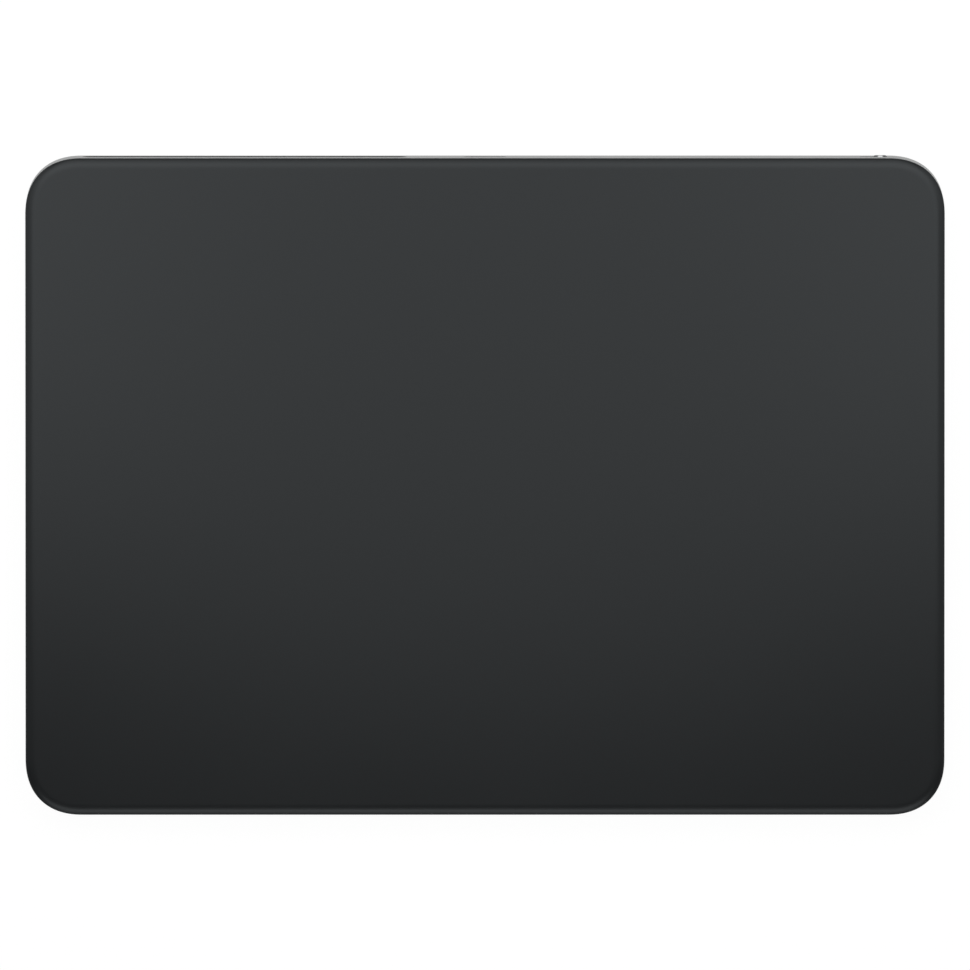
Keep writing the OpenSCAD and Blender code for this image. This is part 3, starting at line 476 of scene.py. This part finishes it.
# %% [markdown]
# ## The underside
#
# A thin moulded cover closes the housing from below and leaves a round hole for each foot.
# The feet are rubber discs that stand a little below the cover. One disc is modelled with a
# rounded tread and a shallow dish, and the feet are copies of it with meshes of their own.

# %% Bottom cover
COVER_TOP, COVER_INSET, COVER_ROUND = UNDERSIDE + 0.7 * MM, 2.1 * MM, 0.15 * MM
HOLE_RADIUS, HOLE_TOP = 4.8 * MM, 3 * MM
cover = rounded_block("bottom_plate", GLASS_WIDTH - 2 * COVER_INSET, BASE_DEPTH - 2 * COVER_INSET,
                      UNDERSIDE, COVER_TOP, CORNER_RADIUS - COVER_INSET)
place(cover, LEVEL)
foot_holes = add_pegs("foot_holes", HOLE_RADIUS, [(side * FOOT_X, end * FOOT_Y, 0, HOLE_TOP)
                                                  for corner, side, end in CORNERS], 64)
place(foot_holes, LEVEL)
combine(cover, foot_holes, "DIFFERENCE")
reopen(cover)
round_edges(lies_at(UNDERSIDE), COVER_ROUND, 3)
close_mesh()
shade(cover)
seat(cover, "base", "cover_plastic", "bottom_cover")

# %% Rubber feet
PAD_RADIUS, PAD_TOP = 4.5 * MM, 1 * MM
TREAD_WIDTH, DISH_SLOPE, DISH_DEPTH, DISH_BORDER = 1 * MM, 0.35 * MM, 0.15 * MM, 0.3 * MM
TREAD_ROUND, PAD_BREAK = 0.2 * MM, 0.06 * MM
on_desk = lies_at(0)


def is_tread_rim(edge):
    """True for the edges round the outside of the tread."""
    return on_desk(edge) and all(v.co.xy.length > PAD_RADIUS - TREAD_WIDTH / 2 for v in edge.verts)


pad = add_pegs("rubber_foot", PAD_RADIUS, [(0, 0, 0, PAD_TOP)], 72)
choose("FACE", on_desk)
bpy.ops.mesh.inset(thickness=TREAD_WIDTH)
bpy.ops.mesh.inset(thickness=DISH_SLOPE, depth=-DISH_DEPTH)
bpy.ops.mesh.inset(thickness=DISH_BORDER)
round_edges(is_tread_rim, TREAD_ROUND, 5)
round_edges(lies_at(PAD_TOP), PAD_BREAK, 2)
place(pad, IN_PLACE)
shade(pad)
for corner, side, end in CORNERS:
    foot = copy_of(pad, "rubber_foot_" + corner)
    place(foot, LEVEL @ Matrix.Translation((side * FOOT_X, end * FOOT_Y, 0)))
    seat(foot, "base", "foot_rubber", "foot_pad_" + corner)
bpy.data.objects.remove(pad)

# %% [markdown]
# ## The actuator's springs
#
# The click is made by a mass that shakes sideways between two folded leaf springs. One leg of
# each leaf is fixed to the frame and the other to the mass, so a stiff copy would cut into the
# mass. A block with a gap milled out and round folds gives the leaf, and the two springs are
# stiff copies of it, turned to either side of the middle of the solid springs.

# %% Fold a leaf
LEAF_THICK, LEAF_HEIGHT, LEAF_DEPTH = 0.25 * MM, 0.8 * MM, 16.5 * MM
LEAF_INNER, LEAF_OUTER = 17.01 * MM, 23.39 * MM
FOLD_RADIUS, FOLD_STEPS = 0.9 * MM, 8


def leaf_block(name, inner, outer, rear, height, fold):
    """Adds a block between two sides whose two upright edges at the rear are round."""
    middle = ((inner + outer) / 2, rear - LEAF_DEPTH / 2, 0)
    block = add_block(name, (outer - inner, LEAF_DEPTH, height), middle)
    at_rear = lies_at(rear, (0, 1, 0))
    round_edges(lambda edge: at_rear(edge) and is_upright(edge), fold, FOLD_STEPS)
    place(block, IN_PLACE)
    return block


leaf = leaf_block("folded_leaf", LEAF_INNER, LEAF_OUTER, LEAF_DEPTH / 2, LEAF_HEIGHT, FOLD_RADIUS)
gap = leaf_block("leaf_gap", LEAF_INNER + LEAF_THICK, LEAF_OUTER - LEAF_THICK, LEAF_DEPTH / 2 - LEAF_THICK,
                 2 * LEAF_HEIGHT, FOLD_RADIUS - LEAF_THICK)
combine(leaf, gap, "DIFFERENCE")
shade(leaf)
print("A folded leaf has", len(leaf.data.polygons), "faces")

# %% Hang the springs
low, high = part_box("haptic_springs")
leaf_middle = DECK.inverted() @ ((Vector(low) + Vector(high)) / 2)
for name, side, turn in (("right", 1, 0), ("left", -1, math.pi)):
    spring = copy_of(leaf, "folded_spring_" + name)
    place(spring, DECK @ Matrix.Translation(leaf_middle) @ Matrix.Rotation(turn, 4, "Z"))
    side * (LEAF_OUTER - LEAF_THICK)
    side * (LEAF_INNER + LEAF_THICK)
    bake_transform(spring)
    stand_for(spring, "spring_steel", "haptic_springs")
bpy.data.objects.remove(leaf)

# %% [markdown]
# ## Writing materials as sums
#
# A material is a small network of nodes. Wrapping a socket in a class lets Python's own
# signs add the Math nodes, so a line of shader maths can be read as a sum. One method adds
# every other kind of node: its settings come first and then what goes into its sockets.

# %% Wires between nodes
class Wire:
    """An output socket of a material. Sums with it add Math nodes to the material."""

    def __init__(self, tree, socket=None):
        self.tree, self.socket = tree, socket

    def add(self, kind, settings, inputs, out=0):
        """Adds a node, sets it, fills its sockets and returns the wire that leaves it."""
        node = self.tree.nodes.new(kind)
        for name, value in settings.items():
            setattr(node, name, value)
        for name, value in inputs.items():
            if isinstance(value, Wire):
                self.tree.links.new(value.socket, node.inputs[name])
            else:
                node.inputs[name].default_value = value
        return Wire(self.tree, node.outputs[out])

    def maths(self, operation, first, second=0.0):
        """Adds a Math node for one operation on wires or numbers."""
        return self.add("ShaderNodeMath", {"operation": operation}, {0: first, 1: second})

    def __add__(self, other):
        return self.maths("ADD", self, other)

    def __sub__(self, other):
        return self.maths("SUBTRACT", self, other)

    def __rsub__(self, other):
        return self.maths("SUBTRACT", other, self)

    def __mul__(self, other):
        return self.maths("MULTIPLY", self, other)

    def __gt__(self, other):
        return self.maths("GREATER_THAN", self, other)

    __radd__, __rmul__ = __add__, __mul__


print("A wire takes the signs", ", ".join("+-*>"))

# %% [markdown]
# ## Grain, bands and blends
#
# Most finishes here come from a few patterns at their real size: a grain made of noise, long
# brushed streaks made of stretched noise, and evenly spaced bands. A pattern's size is given
# in metres, because the Object coordinates are in metres.

# %% Start and dress a finish
FINISHES = {}


def start_finish(name, **constants):
    """Makes a material, sets what is the same all over and returns it with its coordinates."""
    finish = bpy.data.materials.new(name + "_finish")
    finish.use_nodes = True
    FINISHES[name] = finish
    shader = finish.node_tree.nodes["Principled BSDF"]
    for socket, value in constants.items():
        shader.inputs[socket.replace("_", " ")].default_value = value
    where = Wire(finish.node_tree).add("ShaderNodeTexCoord", {}, {}, "Object")
    return finish, where


def dress(finish, colour, roughness, height, depth):
    """Feeds a shader its colour and roughness, and a bump of a given depth in metres."""
    links, shader = finish.node_tree.links, finish.node_tree.nodes["Principled BSDF"]
    links.new(colour.socket, shader.inputs["Base Color"])
    links.new(roughness.socket, shader.inputs["Roughness"])
    bump = height.add("ShaderNodeBump", {}, {"Height": height, "Distance": depth, "Strength": 1.0})
    links.new(bump.socket, shader.inputs["Normal"])
    print(finish.name, "has", len(finish.node_tree.nodes), "nodes")


print("Finishes so far:", len(FINISHES))

# %% Patterns
def grain(where, size, detail=2.0, stretch=(1, 1, 1)):
    """Noise whose lumps are of one size, drawn out along the axes with a small stretch."""
    scaled = where.add("ShaderNodeMapping", {}, {"Vector": where, "Scale": stretch})
    return where.add("ShaderNodeTexNoise", {}, {"Vector": scaled, "Scale": 1 / size, "Detail": detail})


def level_deck(where):
    """Turns the slope out of the coordinates, so that a pattern lies along the deck."""
    return where.add("ShaderNodeMapping", {}, {"Vector": where, "Rotation": (-SLOPE, 0, 0)})


def axis(where, number):
    """One of the three coordinates."""
    return where.add("ShaderNodeSeparateXYZ", {}, {0: where}, number)


def bands(coordinate, pitch):
    """Even bands that rise and fall between 0 and 1."""
    wave = coordinate.maths("SINE", coordinate * (2 * math.pi / pitch))
    return wave * 0.5 + 0.5


def blend(factor, low, high):
    """Goes from one colour to another as a factor goes from 0 to 1."""
    low, high = (end if isinstance(end, Wire) else (*end, 1) for end in (low, high))
    return factor.add("ShaderNodeMix", {"data_type": "RGBA"}, {0: factor, 6: low, 7: high}, 2)


print("The patterns are grain and bands, and blend joins two colours")

# %% [markdown]
# ## Satin glass
#
# The glass is painted black on its underside and etched on top. The etching scatters what it
# mirrors, so it looks dark grey under a soft lamp. A very fine grain gives the etching, and
# wide, faint clouds in the roughness keep the sheet from looking like a drawing.

# %% Satin glass
ETCH_SIZE, ETCH_DEPTH, CLOUD_SIZE = 0.09 * MM, 0.0008 * MM, 28 * MM
finish, where = start_finish("satin_glass", IOR=1.5, Specular_Tint=(0.905, 0.97, 1, 1))
etch = grain(where, ETCH_SIZE, 1)
cloud = grain(where, CLOUD_SIZE, 3)
dress(finish, blend(cloud, (0.0045, 0.0048, 0.0052), (0.0057, 0.0060, 0.0065)),
      0.308 + 0.015 * etch + 0.03 * cloud, etch, ETCH_DEPTH)

# %% [markdown]
# ## Blasted and milled aluminium
#
# The outside of the housing is blasted with fine beads and anodised, which leaves tiny dents
# that scatter the light. Inside it is left as the mill cut it, with tool marks, and it is
# painted much darker, as the shade that falls in the openings and the hollow.
# How deep a point lies behind the outer wall follows from its distance to the rounded
# outline, which a few sums on the coordinates give. The knob is blasted too. Its middle is
# painted lighter than the housing's aluminium, a painted highlight, and its ends are painted
# shade.

# %% Depth behind the outer wall
OUTLINE_POWER = -math.log(2) / math.log(math.sqrt(CORNER_PROFILE))


def depth_in_wall(where):
    """Where a point lies against the deck's outline: 0 on the outer wall and below 0 inside it."""
    deck = where.add("ShaderNodeMapping", {"vector_type": "TEXTURE"},
                     {"Vector": where, "Location": DECK.translation, "Rotation": (SLOPE, 0, 0)})
    past = [where.maths("ABSOLUTE", axis(deck, number)) - (size / 2 - CORNER_SPAN)
            for number, size in ((0, GLASS_WIDTH), (1, GLASS_DEPTH))]
    out = [where.maths("POWER", where.maths("MAXIMUM", distance, 0.0), OUTLINE_POWER) for distance in past]
    corner = where.maths("POWER", out[0] + out[1], 1 / OUTLINE_POWER)
    return corner + where.maths("MINIMUM", where.maths("MAXIMUM", *past), 0.0) - CORNER_SPAN


print("The corners follow a curve of power", round(OUTLINE_POWER, 3))

# %% Blasted and milled aluminium
DENT_SIZE, DENT_DEPTH, DRIFT_SIZE = 0.11 * MM, 0.006 * MM, 9 * MM
SKIN_DEPTH, MILLED_SHADE_FROM, MARK_SIZE, MARK_STRETCH = 0.02 * MM, 1.25 * MM, 0.3 * MM, (0.05, 1, 1)
MILLED_SHADE_DARK, MILLED_SHADE_LIGHT = (0.10, 0.10, 0.105), (0.16, 0.16, 0.165)
LIT_MIDDLE_TO, SHADED_END_FROM, END_SHADE = 0.18 * MM, 0.6 * MM, (0.155, 0.157, 0.16)
# The housing's aluminium is painted a little darker than bare blasted aluminium, as shade on the rear
# wall, and the knob's is a much lighter copy of it, a painted highlight.
for name, dark, light, rough in (
        ("silver_aluminium", (0.44, 0.445, 0.445), (0.52, 0.525, 0.525), 0.36),
        ("knob_aluminium", (0.66, 0.665, 0.67), (0.74, 0.745, 0.75), 0.30)):
    finish, where = start_finish(name, Metallic=1.0, Specular_Tint=(0.5, 0.5, 0.5, 1))
    dents = grain(where, DENT_SIZE, 2)
    drift = grain(where, DRIFT_SIZE, 3)
    colour = blend(0.7 * dents + 0.3 * drift, dark, light)
    roughness = rough + 0.10 * dents + 0.04 * drift
    if name == "silver_aluminium":
        # The inside above the desk is painted much darker: painted shade in the openings and the hollow,
        # with the mill's tool marks on it.
        milled_and_shaded = (-SKIN_DEPTH - depth_in_wall(where) > 0.0) * (axis(where, 2) > MILLED_SHADE_FROM)
        marks = grain(where, MARK_SIZE, 2, MARK_STRETCH)
        colour = blend(milled_and_shaded, colour, blend(marks, MILLED_SHADE_DARK, MILLED_SHADE_LIGHT))
    else:
        # The knob keeps its light colour in the middle, a painted highlight, and goes dark towards its
        # ends, a painted shade.
        off_middle = where.maths("ABSOLUTE", axis(where, 0) - KNOB_X)
        shaded_ends = where.add("ShaderNodeMapRange", {"interpolation_type": "SMOOTHSTEP"},
                           {0: off_middle, 1: LIT_MIDDLE_TO, 2: SHADED_END_FROM})
        colour = blend(shaded_ends, colour, END_SHADE)
    dress(finish, colour, roughness, dents, DENT_DEPTH)

# %% [markdown]
# ## Moulded plastics and rubber
#
# A mould is spark-eroded, so moulded plastic has a fine pebbled skin. Rubber is softer and
# duller and shows pale specks of its filler. All are a grain with a bump, and they differ
# in the colour, the gloss, the size of the grain and how deep it is, both in millimetres.

# %% Plastics and rubber
SPECK_LEVEL = 0.70
for name, dark, light, gloss, rough, size, depth in (
        ("window_plastic", (0.032, 0.033, 0.035), (0.050, 0.051, 0.053), 0.0, 0.55, 0.16, 0.006),
        ("cover_plastic", (0.040, 0.041, 0.043), (0.062, 0.063, 0.066), 0.4, 0.50, 0.30, 0.016),
        ("black_plastic", (0.010, 0.010, 0.011), (0.020, 0.020, 0.022), 0.5, 0.44, 0.20, 0.008),
        ("foot_rubber", (0.016, 0.016, 0.017), (0.030, 0.030, 0.031), 0.3, 0.70, 0.35, 0.020),
        ("adhesive", (0.055, 0.055, 0.058), (0.095, 0.095, 0.100), 0.4, 0.60, 0.90, 0.020),
        ("white_tape", (0.64, 0.63, 0.60), (0.76, 0.75, 0.72), 0.4, 0.62, 0.25, 0.010)):
    finish, where = start_finish(name, Specular_IOR_Level=gloss)
    pebbles = grain(where, size * MM, 3)
    drift = grain(where, 30 * size * MM, 3)
    specks = grain(where, 0.4 * size * MM, 1) > SPECK_LEVEL
    dress(finish, blend(0.55 * pebbles + 0.25 * drift + 0.2 * specks, dark, light),
          rough + 0.12 * pebbles, pebbles, depth * MM)

# %% [markdown]
# ## Drawn and stamped metals
#
# Springs, screws, shields and contacts are rolled or drawn, which leaves streaks along one
# direction. Noise drawn out along X gives streaks along X. Copper is the exception: it is
# wound as wire, so it gets bands as wide as the wire that follow the square of the coil.

# %% Rolled and drawn metals
STREAK_SIZE, STREAK_DEPTH, STREAK_STRETCH, SHEEN_SIZE = 0.12 * MM, 0.004 * MM, (0.04, 1, 1), 4 * MM
for name, dark, light, rough in (
        ("port_steel", (0.46, 0.46, 0.47), (0.60, 0.60, 0.61), 0.26),
        ("screw_steel", (0.30, 0.30, 0.31), (0.44, 0.44, 0.45), 0.30),
        ("spring_steel", (0.42, 0.42, 0.43), (0.58, 0.58, 0.59), 0.28),
        ("actuator_steel", (0.20, 0.20, 0.21), (0.31, 0.31, 0.32), 0.34),
        ("magnet", (0.50, 0.49, 0.47), (0.62, 0.61, 0.59), 0.22),
        ("contact_gold", (0.74, 0.51, 0.20), (0.86, 0.64, 0.30), 0.22),
        ("battery_foil", (0.36, 0.37, 0.39), (0.50, 0.51, 0.53), 0.36)):
    finish, where = start_finish(name, Metallic=1.0)
    streaks = grain(where, STREAK_SIZE, 3, STREAK_STRETCH)
    sheen = grain(where, SHEEN_SIZE, 3)
    dress(finish, blend(0.6 * streaks + 0.4 * sheen, dark, light), rough + 0.14 * streaks,
          streaks, STREAK_DEPTH)

# %% Wound copper
low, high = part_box("haptic_coils")
COIL_X, COIL_Y, WIRE, WIRE_HEIGHT = 8.5 * MM, (low[1] + high[1]) / 2, 0.22 * MM, 0.05 * MM
CORE_HALF_WIDTH, CORE_HALF_DEPTH, TARNISH_SIZE = 4 * MM, 3 * MM, 0.6 * MM
finish, where = start_finish("copper", Metallic=1.0)
across = where.maths("ABSOLUTE", where.maths("ABSOLUTE", axis(where, 0)) - COIL_X)
along = where.maths("ABSOLUTE", axis(where, 1) - COIL_Y)
turns = bands(where.maths("MAXIMUM", across - CORE_HALF_WIDTH, along - CORE_HALF_DEPTH), WIRE)
tarnish = grain(where, TARNISH_SIZE)
dress(finish, blend(0.7 * turns + 0.3 * tarnish, (0.42, 0.15, 0.07), (0.80, 0.37, 0.20)),
      0.44 - 0.16 * turns, turns, WIRE_HEIGHT)

# %% [markdown]
# ## Boards, ribbons and films
#
# A circuit board is green varnish over copper tracks, and a ribbon is amber film with thin
# tracks along it. Bands cut off at a level give clean tracks. On a board they run one way in
# some fields and the other way in the rest, and a texture of cells makes the fields. A
# ribbon has tracks along its length only, so it comes in two directions.

# %% Tracks
TRACK_EDGE, TRACK_HEIGHT = 0.80, 0.02 * MM
FIELD_SIZE, MOTTLE_SIZE = 3.5 * MM, 2.5 * MM


def tracks(where, direction, pitch):
    """Lines that run along one direction of the deck: 0 is X and 1 is Y."""
    return bands(axis(level_deck(where), 1 - direction), pitch) > TRACK_EDGE


def board_tracks(where, pitch):
    """Lines that change their direction from field to field."""
    cell = where.add("ShaderNodeTexVoronoi", {"distance": "CHEBYCHEV"},
                     {"Vector": level_deck(where), "Scale": 1 / FIELD_SIZE}, "Color")
    turned = axis(cell, 0) > 0.5
    return turned * tracks(where, 1, pitch) + (1 - turned) * tracks(where, 0, pitch)


print("A board's tracks change direction about every", round(FIELD_SIZE / MM, 1), "mm")

# %% Boards, ribbons and films
for name, ground, line, rough, pitch, direction in (
        ("circuit_board", (0.012, 0.085, 0.040), (0.030, 0.170, 0.075), 0.32, 0.7, None),
        ("ribbon", (0.42, 0.19, 0.035), (0.56, 0.30, 0.10), 0.36, 0.5, 0),
        ("turned_ribbon", (0.42, 0.19, 0.035), (0.56, 0.30, 0.10), 0.36, 0.5, 1),
        ("gauge_film", (0.46, 0.28, 0.06), (0.66, 0.60, 0.50), 0.40, 0.4, 0),
        ("indicator_film", (0.05, 0.42, 0.08), (0.06, 0.45, 0.09), 0.38, 0.3, 0)):
    finish, where = start_finish(name)
    lines = board_tracks(where, pitch * MM) if direction is None else tracks(where, direction, pitch * MM)
    mottle = grain(where, MOTTLE_SIZE, 3)
    dress(finish, blend(0.8 * lines + 0.2 * mottle, ground, line), rough + 0.10 * mottle,
          lines, TRACK_HEIGHT)

# %% [markdown]
# ## Hand out the finishes
#
# The record names a material slot for every node, and each new piece was given the slot of
# the node that it replaces. One loop over the record therefore dresses the solids that stay,
# and a second one dresses the new pieces. A solid's mesh isn't touched, only its slots.

# %% Hand out the finishes
def put_on(part, finish):
    """Gives a piece one material in place of what it had."""
    part.data.materials.clear()
    part.data.materials.append(finish)


for row in frame["record"]["subparts"]:
    node, slot = row["node"], row["material_slot"]
    low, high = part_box(node)
    turned = slot == "ribbon" and high[1] - low[1] > high[0] - low[0]
    put_on(frame["nodes"][node], FINISHES["turned_ribbon" if turned else slot])
for part, slot in NEW_PIECES:
    put_on(part, FINISHES[slot])
print("Dressed", len(frame["nodes"]), "nodes and", len(NEW_PIECES), "new pieces in",
      len(FINISHES), "finishes")

# %% [markdown]
# ## The floor
#
# The trackpad lies on a plain white table. To the camera the table has to read as white, yet
# it keeps a soft shadow. A diffuse white floor gives the shadow, and a share of plain white
# emission lifts it, only for rays that reach the camera directly, in a mirror or through glass.

# %% Floor
FLOOR_SIZE, FLOOR_COLOUR, FLOOR_ROUGH = 6, (0.9, 0.9, 0.9, 1), 0.9
FLOOR_LIFT, FLOOR_WHITE = 0.9, 1.05


def seen_rays(tree):
    """1 for rays from the camera, a mirror or glass, and 0 for the light that bounces."""
    seen = [Wire(tree).add("ShaderNodeLightPath", {}, {}, "Is " + kind + " Ray")
            for kind in ("Camera", "Glossy", "Transmission")]
    return seen[0].maths("MAXIMUM", seen[0].maths("MAXIMUM", seen[0], seen[1]), seen[2])


bpy.ops.object.select_all(action="DESELECT")
bpy.ops.mesh.primitive_plane_add(size=FLOOR_SIZE)
floor = bpy.context.object
floor.name = "white_table"
table, where = start_finish("white_table", Base_Color=FLOOR_COLOUR, Roughness=FLOOR_ROUGH)
nodes, links = table.node_tree.nodes, table.node_tree.links
white = where.add("ShaderNodeEmission", {}, {"Color": (1, 1, 1, 1), "Strength": FLOOR_WHITE})
lifted = where.add("ShaderNodeMixShader", {}, {0: seen_rays(table.node_tree) * FLOOR_LIFT, 2: white})
links.new(nodes["Principled BSDF"].outputs[0], lifted.socket.node.inputs[1])
links.new(lifted.socket, nodes["Material Output"].inputs["Surface"])
put_on(floor, table)
print("The floor is lifted by", FLOOR_LIFT)

# %% [markdown]
# ## Light
#
# The top is nearly black, so what it shows is the lamps that it mirrors. Three soft boxes
# hang side by side, from above the front of the glass to far behind it. The rear of the glass
# mirrors them and the front only their edge, which makes the slow fall from grey to dark. A
# strip just below them draws the pale line on the curve of the rear edge. A dimmer box and a
# tilted wing on each side shade the side edges, and a box in front lights the front edge. The
# room is pale at the horizon and dim overhead, so the walls stay silver seen from the side.

# %% Soft boxes
BOX_HEIGHT, STRIP_HEIGHT, FRONT_HEIGHT = 0.219, 0.205, 0.329
WING_HEIGHT, WING_TILT = 0.17, math.radians(56)


def soft_box(name, size, position, radiance, tilt=0.0):
    """Hangs a rectangular lamp of a given brightness, which the camera doesn't see."""
    lamp = bpy.data.lights.new(name, "AREA")
    lamp.shape, lamp.size, lamp.size_y = "RECTANGLE", size[0], size[1]
    lamp.energy = radiance * math.pi * size[0] * size[1]
    holder = bpy.data.objects.new(name, lamp)
    holder.location = position
    holder.rotation_euler = (0, tilt, 0)
    holder.visible_camera = False
    bpy.context.scene.collection.objects.link(holder)
    print(name, "gives", round(lamp.energy, 3), "W")


soft_box("middle_soft_box", (0.117, 0.414), (0, 0.144, BOX_HEIGHT), 0.85)
soft_box("rear_soft_box", (0.50, 0.10), (0, 0.119, STRIP_HEIGHT), 0.5)
for side in (-1, 1):
    soft_box("side_soft_box", (0.1065, 0.387), (side * 0.11175, 0.1565, BOX_HEIGHT), 1.22)
    soft_box("outer_soft_box", (0.12, 0.36), (side * 0.225, 0.13, BOX_HEIGHT), 0.45)
    soft_box("wing_soft_box", (0.20, 0.405), (side * 0.33, 0.1525, WING_HEIGHT), 0.44, side * WING_TILT)
soft_box("front_soft_box", (0.60, 0.36), (0, -0.438, FRONT_HEIGHT), 1.12)

# %% Room
HORIZON_LEVEL, ROOM_LEVEL = 1.0, 0.13
HORIZON_END, CEILING_START = 0.05, 0.36
world = bpy.data.worlds.new("studio")
world.use_nodes = True
bpy.context.scene.world = world
room = world.node_tree
background = room.nodes["Background"]
background.inputs["Color"].default_value = (1, 1, 1, 1)
upward = axis(Wire(room).add("ShaderNodeTexCoord", {}, {}, "Generated"), 2)
ceiling = upward.add("ShaderNodeMapRange", {"interpolation_type": "SMOOTHSTEP"},
                     {0: upward, 1: HORIZON_END, 2: CEILING_START, 3: HORIZON_LEVEL, 4: ROOM_LEVEL})
room.links.new(ceiling.socket, background.inputs["Strength"])
print("The room's level is", HORIZON_LEVEL, "at the horizon and", ROOM_LEVEL, "overhead")

# %% [markdown]
# ## The camera
#
# The object is seen straight from above through a very long lens. The camera hangs a little
# behind the middle, and the foot of the rear wall stands out further than its top, so a thin
# strip of that wall shows and no other wall does.

# %% Camera
VIEW_WIDTH = 168.8 * MM
CAMERA_BACK = 30 * MM
LENS, SENSOR = 1500, 36
CAMERA_HEIGHT = VIEW_WIDTH * LENS / SENSOR
AIM = Vector((0, 0.008 * MM, DECK_HEIGHT))
lens = bpy.data.cameras.new("camera")
lens.lens, lens.sensor_width = LENS, SENSOR
lens.clip_start, lens.clip_end = 0.1, 20
camera = bpy.data.objects.new("camera", lens)
bpy.context.scene.collection.objects.link(camera)
camera.location = AIM + Vector((0, CAMERA_BACK, CAMERA_HEIGHT))
camera.rotation_euler = (-math.atan2(CAMERA_BACK, CAMERA_HEIGHT), 0, 0)
bpy.context.scene.camera = camera
bpy.context.scene.view_settings.view_transform = "Standard"
print("The camera hangs", round(CAMERA_HEIGHT, 2), "m above the glass")
